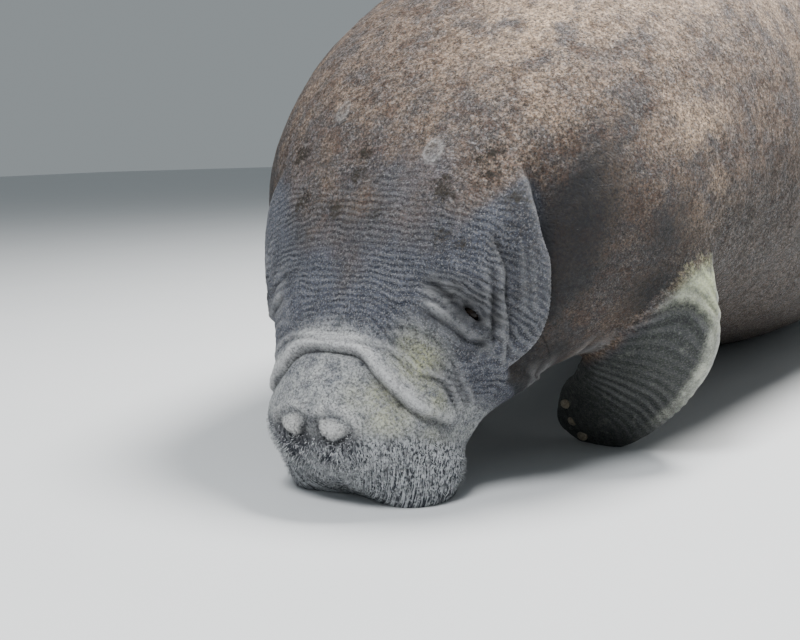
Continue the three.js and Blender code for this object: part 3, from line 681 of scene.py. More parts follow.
def build_body():
    """The skin's points with its fields, before the flippers join it."""
    s, degrees, around, points = straight_grid()
    normals = grid_normals(points).reshape(-1, 3)
    plain = points.reshape(-1, 3)
    rings_columns = s.shape
    s, degrees, around = s.ravel(), degrees.ravel(), around.ravel()
    height, dark, light, pale = np.zeros((4, len(plain)))
    head = s < HEAD_END
    warp = WAVER * np.stack([noise(plain[head] * 34, seed) for seed in (41, 42, 43)], axis=1)
    side = np.where(plain[head, 0] < 0, -1.0, 1.0)
    mirrored = np.stack([side, np.ones(len(side)), np.ones(len(side))], axis=1)
    wavering = (plain[head] + warp) * mirrored
    height[head], dark[head], light[head] = head_fields(wavering, normals[head] * mirrored)
    nostril, nostril_pale, nostril_shade = nostril_fields(plain[head] * mirrored)
    eye, eye_shade, off_lids, eye_hollow = eye_fields(plain[head] * mirrored)
    smoother = np.where(side < 0, 1 - RIGHT_SMOOTHER * ease(s[head], RIGHT_FROM, RIGHT_TO), 1)
    height[head] = height[head] * off_lids * smoother + nostril + eye
    dark[head] = np.maximum(dark[head], np.maximum(nostril_shade, eye_shade))
    pale[head] = nostril_pale
    # Less painted highlight over the nostrils' painted shade and in the eye's hollow
    light[head] *= (1 - nostril_shade) * (1 - 0.80 * eye_hollow)
    wrinkles, strength, follow = wrinkle_fields(plain, s, degrees, around)
    zone = bristle_zone(s, degrees) * (1 - np.interp(np.arange(len(plain)), np.where(head)[0], nostril_pale))
    knobs = KNOBS * zone * (noise(plain * 430, 61) + 0.7 * noise(plain * 210, 62))
    scar, scar_pale = scar_fields(plain)
    height += wrinkles + knobs + scar
    normals[:, 1] *= 1 - LEVEL_SHARE * ease(s, *LEVEL_RINGS)
    fields = {
        "lie": np.stack([around, s, 0 * s], axis=1),
        "dark": dark,
        "light": light,
        "pale": np.maximum(pale, scar_pale),
        "bristle": zone,
        "wrinkle": strength,
        "follow": follow,
    }
    return plain + normals * height[:, None], plain, degrees, fields, rings_columns


def grid_faces(rows, columns):
    """Four-sided faces of a closed tube, with a fan at each end onto two extra points."""
    k = np.arange(columns)
    after = (k + 1) % columns
    first, last = np.full((2, columns), [[rows * columns], [rows * columns + 1]])
    faces = []
    for start in range(0, (rows - 1) * columns, columns):
        ring, behind = start, start + columns
        faces += np.stack([ring + k, ring + after, behind + after, behind + k], axis=1).tolist()
    faces += np.stack([first, after, k], axis=1).tolist()
    end = (rows - 1) * columns
    faces += np.stack([last, end + k, end + after], axis=1).tolist()
    return faces


def read_array(items, key, width, kind=np.float32):
    """One property of all items, a row for each."""
    values = np.zeros(len(items) * width, kind)
    items.foreach_get(key, values)
    return values.reshape(-1, width)


def mesh_points(mesh):
    return read_array(mesh.vertices, "co", 3).astype(float)


def vertex_normals(mesh):
    return read_array(mesh.vertices, "normal", 3).astype(float)


def mesh_edges(mesh):
    return read_array(mesh.edges, "vertices", 2, np.int32).T


def set_points(mesh, points):
    mesh.vertices.foreach_set("co", points.astype(np.float32).ravel())
    mesh.update()


def shade_smooth(mesh):
    mesh.polygons.foreach_set("use_smooth", np.ones(len(mesh.polygons), bool))


def new_mesh(name, points, faces):
    mesh = bpy.data.meshes.new(name)
    mesh.from_pydata(points.tolist(), [], faces)
    mesh.update()
    return mesh


def made_mesh(name, shape, **settings):
    """A mesh of one of the plain shapes."""
    work = bmesh.new()
    shape(work, **settings)
    mesh = bpy.data.meshes.new(name)
    work.to_mesh(mesh)
    work.free()
    return mesh


def new_object(name, data):
    piece = bpy.data.objects.new(name, data)
    bpy.context.scene.collection.objects.link(piece)
    return piece


# Flippers

FLIPPER_ROWS, FLIPPER_COLUMNS = 120, 84
# The rows crowd from here to the tip, and how square a row is
FLIPPER_END, FLIPPER_LAST, FLIPPER_SQUARE = 0.8, 0.1995, 0.9
# Distances from the shoulder along the limb and reach of its wrinkles, their spacing and curve
ELBOW, WRIST, WRIST_SHARE = (0.190, 0.017), (0.300, 0.026), 0.8
LIMB_WRINKLE, ELBOW_ARC = 0.0125, -7.0
LIMB_DRIFT, LIMB_FOLD, LIMB_FINE, LIMB_LUMPS = 0.006, 0.0034, 0.0010, 0.0012
# Ridges of the finger bones: spacing across, how many, height
FINGER_SPAN, FINGER_TURNS, FINGER_HEIGHT = 0.052, 2.1, 0.0012


def flipper_section(t):
    """Centre, directions and half sizes of the left flipper at places t from 0 to 1."""
    place = t * (len(FLIPPER) - 1)
    i = np.clip(place.astype(int), 0, len(FLIPPER) - 2)
    f = (place - i)[:, None]
    row = FLIPPER[i] * (1 - f) + FLIPPER[i + 1] * f
    line = resampled(FLIPPER[:, :3], 0.001)
    run = run_along(line)
    knots = [run[np.argmin(np.linalg.norm(line - p, axis=1))] for p in FLIPPER[:, :3]]
    at = np.interp(place, np.arange(len(FLIPPER)), knots)
    centre = np.stack([np.interp(at, run, line[:, k]) for k in range(3)], axis=1)
    along = np.gradient(centre, axis=0)
    along /= np.linalg.norm(along, axis=1, keepdims=True)
    across = row[:, 3:6] - along * np.einsum("ij,ij->i", row[:, 3:6], along)[:, None]
    across /= np.linalg.norm(across, axis=1, keepdims=True)
    tip = np.clip((t - FLIPPER_TIP) / (1 - FLIPPER_TIP), 0, 1)
    rounding = np.sqrt(1 - tip**FLIPPER_TIP_POWER)
    breadth, thickness = row[:, 6] * rounding, row[:, 7] * np.sqrt(rounding)
    return centre, across, np.cross(along, across), breadth, thickness, at


def build_flipper(sign):
    """One flipper's mesh with its fields; the right one is the mirrored left, moved a little."""
    tip = FLIPPER_LAST * np.sin(np.linspace(0, math.pi / 2, FLIPPER_ROWS // 3))
    t = np.concatenate([np.linspace(0, FLIPPER_END, FLIPPER_ROWS, endpoint=False), FLIPPER_END + tip])
    centre, across, out, breadth, thickness, at = flipper_section(t)
    angle = np.linspace(0, 2 * math.pi, FLIPPER_COLUMNS, endpoint=False)
    c = np.sign(np.cos(angle)) * np.abs(np.cos(angle)) ** FLIPPER_SQUARE
    d = np.sin(angle)
    points = (centre[:, None] + across[:, None] * (breadth[:, None] * c)[..., None]
              + out[:, None] * (thickness[:, None] * d)[..., None])
    flat, normals = points.reshape(-1, 3), grid_normals(points).reshape(-1, 3)
    reach = np.repeat(at, FLIPPER_COLUMNS)
    width = (breadth[:, None] * c).ravel()
    if np.einsum("ij,ij->i", normals, flat - np.repeat(centre, FLIPPER_COLUMNS, axis=0)).mean() < 0:
        normals = -normals
    arc = reach + ELBOW_ARC * width**2 + LIMB_DRIFT * noise(flat * 22, 71)
    elbow = bell(reach - ELBOW[0], ELBOW[1])
    wrist = WRIST_SHARE * bell(reach - WRIST[0], WRIST[1])
    folds = 1 - ridged(math.pi * arc / LIMB_WRINKLE)
    fine = 1 - np.abs(flat_noise(width * 14, arc * 120, 72))
    patch = 0.5 + 0.5 * noise(flat * 30, 73)
    height = -LIMB_FOLD * (elbow + wrist) * folds - LIMB_FINE * patch * fine**3
    height += LIMB_LUMPS * layered(flat * 26, 3, 75 + sign)
    fingers = np.cos(np.clip(width / FINGER_SPAN, -1, 1) * FINGER_TURNS * math.pi)
    height += FINGER_HEIGHT * fingers * ease(reach, 0.24, 0.32)
    flat = flat + normals * height[:, None]
    # The rim of the flipper, which takes a painted highlight
    rim = ease(np.abs(c), 0.86, 0.97)[None] * np.ones((len(t), 1))
    fields = {
        "lie": np.stack([width, reach, np.ones(len(flat))], axis=1),
        # Painted shade in the folds at the elbow and wrist
        "dark": np.clip((elbow + wrist) * folds, 0, 1) * 0.7,
        # Painted highlight along the rim of the upper flipper
        "light": 0.8 * rim.ravel() * ease(reach, 0.30, 0.20),
        "yellow": ease(width, -0.030, 0.030) * ease(arc, 0.196, 0.160),
        # The lower flipper, darkened with painted shade and some mud
        "low": ease(arc, 0.178, 0.192) * np.maximum(ease(width, 0.054, 0.040), ease(reach, 0.25, 0.34)),
        "wrinkle": np.clip(0.25 + elbow + wrist, 0, 1) * patch,
        "follow": arc * FACE_WRINKLE / LIMB_WRINKLE,
    }
    flat = np.concatenate([flat, centre[[0, -1]]])
    for name, values in fields.items():
        fields[name] = np.concatenate([values, values[[0, -1]]])
    faces = grid_faces(len(t), FLIPPER_COLUMNS)
    if sign < 0:
        flat = flat * [-1, 1, 1] + RIGHT_FLIPPER_SHIFT
        faces = [face[::-1] for face in faces]
    return rest_on_floor(flat + [0, ORIGIN_Y, 0]), faces, fields


BLEND_REACH = 0.030


def swell_towards(points, normals, other_tree, near_box):
    """Moves points out where the other surface comes close, so that the two meet in a soft fillet."""
    moved = points.copy()
    for i in inside_box(points, *near_box):
        place, normal, _, gap = other_tree.find_nearest(Vector(points[i]), BLEND_REACH)
        if place is None:
            continue
        signed = gap if (Vector(points[i]) - place).dot(normal) > 0 else -gap
        push = max(BLEND_REACH - abs(signed), 0) ** 2 / (4 * BLEND_REACH)
        moved[i] += normals[i] * push
    return moved


def face_outward(mesh):
    work = bmesh.new()
    work.from_mesh(mesh)
    bmesh.ops.recalc_face_normals(work, faces=work.faces)
    if work.calc_volume(signed=True) < 0:
        bmesh.ops.reverse_faces(work, faces=work.faces)
    work.to_mesh(mesh)
    work.free()
    mesh.update()


def join_solid(target, other):
    """Adds a closed mesh to target and removes it."""
    union = target.modifiers.new("union", "BOOLEAN")
    union.operation, union.solver, union.object = "UNION", "MANIFOLD", other
    bpy.context.view_layer.update()
    depsgraph = bpy.context.evaluated_depsgraph_get()
    joined = bpy.data.meshes.new_from_object(target.evaluated_get(depsgraph))
    target.modifiers.clear()
    target.data = joined
    bpy.data.objects.remove(other)


SOFTEN_STEP = 0.6


def soften(mesh, weight, rounds):
    """Laplacian smoothing where weight is above 0."""
    a, b = mesh_edges(mesh)
    keep = (weight[a] > 0) | (weight[b] > 0)
    a, b = a[keep], b[keep]
    count = np.bincount(a, minlength=len(weight)) + np.bincount(b, minlength=len(weight))
    points = mesh_points(mesh)
    for _ in range(rounds):
        total = np.zeros_like(points)
        for k in range(3):
            total[:, k] = np.bincount(a, points[b, k], len(weight))
            total[:, k] += np.bincount(b, points[a, k], len(weight))
        mean = total / np.maximum(count, 1)[:, None]
        points += (mean - points) * (SOFTEN_STEP * weight * (count > 0))[:, None]
    set_points(mesh, points)


def set_field(mesh, name, values):
    kind = "FLOAT_VECTOR" if values.ndim == 2 else "FLOAT"
    attribute = mesh.attributes.new(name, kind, "POINT")
    key = "vector" if values.ndim == 2 else "value"
    attribute.data.foreach_set(key, values.astype(np.float32).ravel())


FIELDS = ("lie", "dark", "light", "pale", "bristle", "wrinkle", "follow", "yellow", "low")
BODY_ENDS = np.array([[0, -0.0002, 0], [0, LENGTH, 0]])

moved, plain, plain_degrees, body_fields, (ring_count, column_count) = build_body()
body_points = rest_on_floor(bend(np.concatenate([moved, BODY_ENDS])))
body_mesh = new_mesh("skin", body_points, grid_faces(ring_count, column_count))
face_outward(body_mesh)
skin = new_object("skin", body_mesh)
body_fields["yellow"] = body_fields["low"] = np.zeros(len(plain))
for name, values in body_fields.items():
    body_fields[name] = np.concatenate([values, values[[0, -1]]])
plain = np.concatenate([plain, BODY_ENDS])
plain_degrees = np.concatenate([plain_degrees, [0, 0]])

flippers = []
for sign in (1, -1):
    points, faces, flipper_fields = build_flipper(sign)
    mesh = new_mesh("flipper", points, faces)
    face_outward(mesh)
    flippers.append((mesh, flipper_fields))


def tree_of(mesh):
    return BVHTree.FromPolygons([v.co for v in mesh.vertices], [p.vertices for p in mesh.polygons])


body_tree = tree_of(body_mesh)
swollen = mesh_points(body_mesh)
for mesh, _ in flippers:
    points = mesh_points(mesh)
    box = (points.min(0) - BLEND_REACH, points.max(0) + BLEND_REACH)
    swollen = swell_towards(swollen, vertex_normals(body_mesh), tree_of(mesh), box)
    set_points(mesh, rest_on_floor(swell_towards(points, vertex_normals(mesh), body_tree, box)))
set_points(body_mesh, rest_on_floor(swollen))
bare_body, bare_normals = mesh_points(body_mesh), vertex_normals(body_mesh)

# All fields are carried over to the joined skin from the nearest point before the join
source_points = np.concatenate([bare_body] + [mesh_points(mesh) for mesh, _ in flippers])
source = {}
for name in FIELDS:
    parts = [body_fields[name]]
    for mesh, flipper_fields in flippers:
        parts.append(flipper_fields.get(name, np.zeros(len(mesh.vertices))))
    source[name] = np.concatenate(parts)


def tree_of_points(points):
    tree = KDTree(len(points))
    for i, point in enumerate(points):
        tree.insert(point, i)
    tree.balance()
    return tree


source_tree = tree_of_points(source_points)
for mesh, _ in flippers:
    join_solid(skin, new_object("flipper", mesh))
joined_points = mesh_points(skin.data)
owner = np.array([source_tree.find(p)[1] for p in joined_points])
flipper_part = (source["lie"][owner, 2] > 0.5).astype(float)

# The seam is where a flipper's point and a body's point share an edge
a, b = mesh_edges(skin.data)
crossing = flipper_part[a] != flipper_part[b]
seam_points = joined_points[np.unique(np.concatenate([a[crossing], b[crossing]]))]
seam_tree = tree_of_points(seam_points)
SEAM_REACH, SEAM_SOFT, SEAM_ROUNDS, FAR = 0.080, 0.020, 24, 1.0
seam_gap = np.full(len(joined_points), FAR)
for i in inside_box(joined_points, seam_points.min(0) - SEAM_REACH, seam_points.max(0) + SEAM_REACH):
    seam_gap[i] = seam_tree.find(joined_points[i])[2]
soften(skin.data, ease(seam_gap, SEAM_SOFT, 0), SEAM_ROUNDS)
shade_smooth(skin.data)
for name in FIELDS:
    set_field(skin.data, name, source[name][owner])

# Colour fields over the skin: s in millimetres, degrees round, reach in millimetres, and strength

OLIVE_SPOTS = [
    (115, 50, 24, 1.0), (73, 36, 18, 0.8), (60, 48, 24, 0.8), (88, 72, 18, 0.9), (100, 44, 14, 0.7),
    (100, 62, 16, 0.7), (51, 88, 20, 0.5), (128, 40, 18, 0.5), (66, 22, 16, 0.4),
]
# Reddish pale patches, and painted highlight along the top of the back and on the shoulder's ridge
TAN_AND_HIGHLIGHT_SPOTS = [
    (430, 71, 45, 0.9), (415, 92, 40, 0.7), (500, 20, 90, 0.8), (560, 45, 80, 0.8), (620, 20, 110, 0.9),
    (760, 0, 140, 1.0), (640, -30, 90, 0.7), (440, 22, 90, 1.0), (520, 34, 110, 1.0), (700, 50, 120, 0.8),
    (350, 34, 40, 0.4), (900, 10, 150, 0.8), (1300, 35, 200, 0.8), (1700, 10, 200, 0.8),
    (2150, 0, 150, 0.7),
]
ALGAE_SPOTS = [
    (243, -8, 14, 0.9), (236, 4, 10, 0.8), (225, 28, 12, 0.8), (222, 36, 10, 0.7), (262, 22, 18, 0.8),
    (252, -24, 16, 0.9), (276, -4, 20, 0.7), (292, 30, 20, 0.7), (270, 44, 18, 0.6), (300, -30, 22, 0.8),
    (232, 46, 10, 0.5), (236, 59, 20, 0.5), (212, 70, 20, 0.4), (246, 52, 18, 0.5),
]
SHADE_SPOTS = [
    (340, 92, 50, 0.8), (310, 108, 60, 0.9), (184, 35, 16, 0.9), (180, 44, 19, 1.0), (174, 52, 20, 1.0),
    (184, 54, 18, 0.8), (170, 62, 13, 0.9), (160, 46, 10, 0.7), (153, 60, 10, 0.8), (156, 72, 12, 0.9),
    (178, 68, 13, 1.0), (192, 61, 12, 0.9), (222, 60, 24, 0.5), (204, 71, 24, 0.5), (190, 79, 22, 0.5),
    (232, 0, 46, 0.4), (220, -24, 40, 0.4), (220, 22, 34, 0.3), (9, -30, 30, 1.0), (14, -8, 22, 1.0),
    (8, 8, 18, 1.0), (18, -2, 10, 0.9), (16, 30, 14, 0.7), (24, -50, 18, 0.7),
]


def spots(points, listed):
    total = np.zeros(len(points))
    for s, degrees, reach, strength in listed:
        total = np.maximum(total, strength * bell(gap_to(points, (s, degrees)), reach / 1000))
    return total


flipper_count = len(source_points) - len(plain)
plain_all = np.concatenate([plain, np.zeros((flipper_count, 3))])[owner]
body_s = source["lie"][owner, 1]
body_degrees = np.abs(np.concatenate([plain_degrees, np.zeros(flipper_count)])[owner])
limb = np.where(flipper_part > 0.5, ease(seam_gap, 0.001, 0.022), 0)
on_body = 1 - flipper_part
patchy = layered(plain_all * 14, 4, 91)
beyond_fold = body_s - along_edge(MUZZLE_FOLD, body_degrees)
beyond_growth = body_s - along_edge(GROWTH_EDGE, body_degrees)
ragged = ease(body_degrees, 44, 26)
growing = beyond_growth + (0.006 + 0.064 * ragged) * patchy
back = ease(growing, -0.050 * ragged, 0.010 + 0.110 * ragged)
# Darker lower sides: their own darker skin, and painted shade
flank = ease(body_degrees + 16 * patchy, 74, 116) * ease(body_s, 0.22, 0.34)
# Painted shade on the neck and throat behind the jowl's edge
behind_jowl = ease(beyond_growth, -0.001, 0.004) * ease(beyond_growth + 0.02 * patchy, 0.17, 0.03)
behind_jowl *= ease(body_degrees, 42, 58)
# The roll over the muzzle's deep fold, which takes a painted highlight
roll = ease(beyond_fold, -0.001, 0.002) * ease(beyond_fold, 0.024, 0.010) * ease(body_degrees, 84, 66)
masks = {
    "muzzle": on_body * ease(beyond_fold + 0.005 * patchy, 0.040, 0.012),
    "back": np.where(flipper_part > 0.5, 1 - limb, back),
    "flank": on_body * flank,
    "shade": on_body * np.maximum(spots(plain_all, SHADE_SPOTS), behind_jowl),
    "roll": on_body * roll,
    "olive": on_body * spots(plain_all, OLIVE_SPOTS),
    "tan": on_body * spots(plain_all, TAN_AND_HIGHLIGHT_SPOTS),
    "algae": on_body * spots(plain_all, ALGAE_SPOTS),
    "limb": limb,
    "seam": ease(seam_gap, 0.016, 0.004),
}
for name, values in masks.items():
    set_field(skin.data, name, values)


# Bristles of the lips and the sparse hairs of the body, as tapered three-sided spikes

HAIR_RINGS, HAIR_TAPER, HAIR_BEND, HAIR_LEAN = 3, 0.7, 0.25, 0.6
OFBAKE_PATCH = 0.003


def hair_mesh(name, roots, normals, leans, lengths, radii, places):
    """Spikes that bend towards leans, with each one's place on an unwrap of the skin."""
    count = len(roots)
    side = np.cross(normals, leans)
    side /= np.maximum(np.linalg.norm(side, axis=1, keepdims=True), 1e-9)
    other = np.cross(normals, side)
    points, patch = [], []
    for k in range(HAIR_RINGS + 1):
        t = k / HAIR_RINGS
        middle = roots + lengths[:, None] * (normals * (t - HAIR_BEND * t * t) + leans * HAIR_LEAN * t * t)
        width = radii * (1 - t) ** HAIR_TAPER
        for j in range(3 if k < HAIR_RINGS else 1):
            turn = 2 * math.pi * j / 3
            points.append(middle + (side * math.cos(turn) + other * math.sin(turn)) * width[:, None])
            patch.append(places + OFBAKE_PATCH * np.array([0.5 * math.cos(turn) * (1 - t), t - 0.5]))
    per_hair = len(points)
    points = np.stack(points, axis=1).reshape(-1, 3)
    patch = np.stack(patch, axis=1).reshape(-1, 2)
    faces = [[0, 2, 1]]
    for k in range(HAIR_RINGS - 1):
        for j in range(3):
            after = (j + 1) % 3
            faces.append([3 * k + j, 3 * k + after, 3 * k + 3 + after, 3 * k + 3 + j])
    tip = per_hair - 1
    faces += [[tip - 3 + j, tip - 3 + (j + 1) % 3, tip] for j in range(3)]
    every = [[v + i * per_hair for v in face] for i in range(count) for face in faces]
    mesh = new_mesh(name, points, every)
    face_outward(mesh)
    corners = read_array(mesh.loops, "vertex_index", 1, np.int32)[:, 0]
    layer = mesh.uv_layers.new(name="OFBake")
    layer.data.foreach_set("uv", patch[corners].astype(np.float32).ravel())
    shade_smooth(mesh)
    return new_object(name, mesh)


BRISTLES = {"count": 3600, "length": (0.0030, 0.0085), "radius": 0.00046, "sunk": 0.0006}
HAIRS = {"count": 1100, "length": (0.004, 0.009), "radius": 0.00017, "sunk": 0.0006}
BRISTLE_LEAN, HAIR_LIE, LOOSE, SHORTEST = (0, 0.1, -0.5), (0, 0.9, 0), 0.35, 0.35
# Hairs stand between these places along the body, and nothing grows this near the floor
HAIR_FROM, HAIR_TO, HAIR_FLOOR, BRISTLE_FLOOR = 0.26, 2.5, 0.05, 0.012
random = np.random.RandomState(7)


def grow(name, kind, chosen_from, along_body):
    chosen = random.choice(chosen_from, kind["count"], replace=False)
    normals = bare_normals[chosen]
    roots = bare_body[chosen] - normals * kind["sunk"]
    loose = random.normal(size=(len(chosen), 3)) * LOOSE
    leans = loose + (HAIR_LIE if along_body else BRISTLE_LEAN)
    leans -= normals * np.einsum("ij,ij->i", leans, normals)[:, None]
    low, high = kind["length"]
    lengths = low + (high - low) * random.random_sample(len(chosen))
    if not along_body:
        lengths *= SHORTEST + (1 - SHORTEST) * body_fields["bristle"][chosen]
    radii = kind["radius"] * (0.7 + 0.6 * random.random_sample(len(chosen)))
    places = np.stack([0.5 + plain_degrees[chosen] / 400, 0.02 + 0.96 * plain[chosen, 1] / LENGTH], axis=1)
    return hair_mesh(name, roots, normals, leans, lengths, radii, places)


above_floor = bare_body[:, 2] > BRISTLE_FLOOR
thinned = 0.10 + 0.80 * random.random_sample(len(plain))
in_shade = spots(plain, SHADE_SPOTS)
lips = np.where((body_fields["bristle"] * (1 - 0.6 * in_shade) > thinned) & above_floor)[0]
coat = np.where((plain[:, 1] > HAIR_FROM) & (plain[:, 1] < HAIR_TO) & (bare_body[:, 2] > HAIR_FLOOR))[0]
ring_spread = 1 / np.maximum(np.gradient(ring_places())[coat // column_count], 1e-4)
coat = coat[random.random_sample(len(coat)) < ring_spread.min() / ring_spread]
bristles = grow("lip_bristles", BRISTLES, lips, False)
hairs = grow("body_hairs", HAIRS, coat, True)


# Materials, from nodes only

class Nodes:
    """A new material, with short calls to build its node tree."""

    def __init__(self, name):
        self.material = bpy.data.materials.new(name)
        self.material.use_nodes = True
        self.tree = self.material.node_tree
        self.shader = self.tree.nodes["Principled BSDF"]
        self.coordinates = self.node("TexCoord", {}).outputs["Object"]

    def link(self, value, socket):
        if isinstance(value, bpy.types.NodeSocket):
            self.tree.links.new(value, socket)
        elif socket.type == "RGBA":
            socket.default_value = (*value, 1)
        else:
            socket.default_value = value

    def node(self, kind, inputs, **settings):
        node = self.tree.nodes.new("ShaderNode" + kind)
        for key, value in settings.items():
            setattr(node, key, value)
        for key, value in inputs.items():
            self.link(value, node.inputs[key])
        return node

    def look(self, colour, roughness, normal=None, specular=0.5):
        wanted = {"Base Color": colour, "Roughness": roughness, "Specular IOR Level": specular}
        for key, value in {**wanted, "Normal": normal}.items():
            if value is not None:
                self.link(value, self.shader.inputs[key])
        return self.material

    def field(self, name):
        return self.node("Attribute", {}, attribute_name=name).outputs["Vector" if name == "lie" else "Fac"]

    def math(self, operation, a, b=0.0, clamp=False):
        return self.node("Math", {0: a, 1: b}, operation=operation, use_clamp=clamp).outputs[0]

    def times(self, *values):
        return functools.reduce(lambda a, b: self.math("MULTIPLY", a, b), values)

    def plus(self, *values):
        return functools.reduce(lambda a, b: self.math("ADD", a, b), values)

    def without(self, value):
        return self.math("SUBTRACT", 1.0, value, clamp=True)

    def stretch(self, vector, *scale):
        return self.node("Mapping", {"Vector": vector, "Scale": scale}).outputs[0]

    def noise(self, scale, detail=4.0, rough=0.5, vector=None, distortion=0.0):
        inputs = {"Vector": vector or self.coordinates, "Scale": scale, "Detail": detail, "Roughness": rough}
        return self.node("TexNoise", {**inputs, "Distortion": distortion}).outputs["Fac"]

    def cells(self, scale, feature="F1", vector=None):
        inputs = {"Vector": vector or self.coordinates, "Scale": scale}
        return self.node("TexVoronoi", inputs, feature=feature).outputs["Distance"]

    def between(self, value, low, high, to_low=0.0, to_high=1.0):
        inputs = {"Value": value, "From Min": low, "From Max": high, "To Min": to_low, "To Max": to_high}
        return self.node("MapRange", inputs, interpolation_type="SMOOTHSTEP").outputs["Result"]

    def mix(self, share, a, b):
        return self.node("Mix", {"Factor": share, 6: a, 7: b}, data_type="RGBA").outputs[2]

    def paint(self, colour, *coats):
        """Mixes coats over a colour, each given as its share and its own colour."""
        for share, coat in coats:
            colour = self.mix(share, colour, coat)
        return colour

    def bump(self, height, distance, strength=1.0, normal=None):
        inputs = {"Height": height, "Distance": distance, "Strength": strength}
        if normal is not None:
            inputs["Normal"] = normal
        return self.node("Bump", inputs).outputs["Normal"]


# Noises of the skin: scale, detail and roughness
SKIN_NOISES = {
    "blotch": (24, 6, 0.65), "medium": (52, 7, 0.68), "grain": (165, 8, 0.75), "fine": (255, 8, 0.80),
    "rusty": (310, 6, 0.75), "fleck": (390, 6, 0.72), "sandy": (430, 5, 0.75), "grit": (520, 4, 0.70),
}
CRACKS, STREAKS, KNOB_CELLS = (95, 240, 1), (420, 190, 1), 230


def skin_material():
    n = Nodes("manatee_skin")
    lie = n.field("lie")
    f = SimpleNamespace(**{name: n.field(name) for name in FIELDS[1:] + tuple(masks)})
    noises = SimpleNamespace(**{name: n.noise(*row) for name, row in SKIN_NOISES.items()})
    medium, grain, fleck = noises.medium, noises.grain, noises.fleck
    lit_part, low_mud_and_shade = n.without(f.shade), n.times(f.low, 0.7)

    # Ground colours by region
    lips_blend = n.between(n.plus(n.times(medium, 0.5), n.times(grain, 0.5)), 0.38, 0.60)
    hide = n.mix(n.between(noises.blotch, 0.42, 0.60), BACK_GREY, BACK_TAN)
    hide = n.mix(n.between(medium, 0.50, 0.66, 0, 0.8), hide, BACK_RED)
    paddle = n.mix(n.between(medium, 0.38, 0.62), FLIPPER_GREY, FLIPPER_PALE)
    # Painted shade with some mud over the lower flipper
    paddle = n.mix(n.times(f.low, n.between(medium, 0.18, 0.46), 0.93), paddle, FLIPPER_MUD_AND_SHADE)
    colour = n.mix(n.between(medium, 0.36, 0.64), HEAD_GREY, HEAD_PALE)
    colour = n.paint(
        colour,
        (f.muzzle, n.mix(lips_blend, MUZZLE_GREY, MUZZLE_PALE)),
        (n.times(f.olive, n.between(medium, 0.30, 0.55), 0.80), OLIVE),
        # Painted highlight over the muzzle's roll
        (n.times(f.roll, n.between(medium, 0.26, 0.50), 0.88), CREST_HIGHLIGHT),
        (f.back, hide),
        # Pale reddish patches, and painted highlight on the top of the back
        (n.times(f.tan, n.between(noises.blotch, 0.34, 0.54), 0.8), PALE_TAN_AND_HIGHLIGHT),
        # Darker skin and painted shade on the lower sides
        (n.times(f.flank, 0.8), FLANK_BROWN_AND_SHADE),
        (n.times(f.shade, 0.93), SHADE_BROWN),
        (f.limb, paddle),
        (n.times(f.yellow, 0.75, n.between(medium, 0.3, 0.6)), YELLOW_GREEN),
    )

    # Mottling of the bare skin: dark between pale grains
    smooth_limb = n.times(f.limb, n.without(f.low))
    mottled = n.times(n.without(n.times(smooth_limb, 0.65)), n.without(n.times(f.muzzle, 0.16)))
    speckled = n.times(n.plus(n.times(f.muzzle, 0.22), 0.44), lit_part, n.without(low_mud_and_shade))

    # Growth on the back: brown grains, and clumps that reach over the forehead
    bare = n.times(n.without(f.muzzle), n.without(n.times(f.limb, 0.75)))
    growth = n.times(bare, n.plus(n.times(f.back, 0.80), n.times(f.algae, 0.8), 0.10))
    growth = n.times(growth, n.without(n.times(f.tan, 0.40)), n.without(n.times(f.shade, 0.90)))
    dark = n.between(n.plus(n.times(noises.fine, 0.6), n.times(grain, 0.4)), 0.475, 0.565)
    rusted = n.plus(n.times(f.back, 0.36), 0.14)
    sand = n.times(n.plus(n.times(growth, 0.60), 0.08), n.without(n.times(n.plus(f.low, f.shade), 0.8)))
    ragged = n.plus(f.algae, n.times(n.math("SUBTRACT", medium, 0.5), 2.2))
    clump = n.times(n.between(ragged, 0.48, 0.80), n.between(grain, 0.40, 0.52))
    clump = n.plus(clump, n.times(f.back, n.between(medium, 0.54, 0.64), 0.50))
    colour = n.paint(
        colour,
        (n.times(n.between(fleck, 0.38, 0.58, 0.86, 0.0), mottled), MOTTLE_DARK),
        (n.times(n.between(noises.grit, 0.52, 0.61), speckled), MOTTLE_PALE),
        (n.times(dark, growth, 0.85), GRAIN_BROWN),
        (n.times(n.between(noises.rusty, 0.53, 0.62), growth, rusted), GRAIN_RUST),
        (n.times(n.between(noises.sandy, 0.54, 0.64), sand), GRAIN_PALE),
        (n.times(clump, bare, 0.86, n.without(n.times(f.shade, 0.8))), CLUMP_BROWN),
    )

    # The bristle zone is dark between small pale knobs: their own tones, with painted highlight on the raised
    # knobs and painted shade in the gaps
    uneven = n.plus(f.bristle, n.times(n.math("SUBTRACT", medium, 0.5), 1.6))
    zone = n.times(n.between(uneven, 0.20, 1.0), n.between(f.bristle, 0.0, 0.35))
    streak = n.noise(1.0, 5, 0.65, n.stretch(lie, *STREAKS), 0.4)
    knobs = n.between(n.cells(KNOB_CELLS), 0.55, 0.15, 0.0, 0.45)
    knobs = n.plus(knobs, n.between(streak, 0.40, 0.62, 0.0, 0.75))

    # Fine wrinkle lines, in the same places as those of the shape
    phase = n.times(n.plus(f.follow, n.times(grain, 0.0016)), math.pi / FACE_WRINKLE)
    wave = n.math("ABSOLUTE", n.math("SINE", phase))
    line = n.times(n.between(wave, 0.42, 0.0), f.wrinkle)

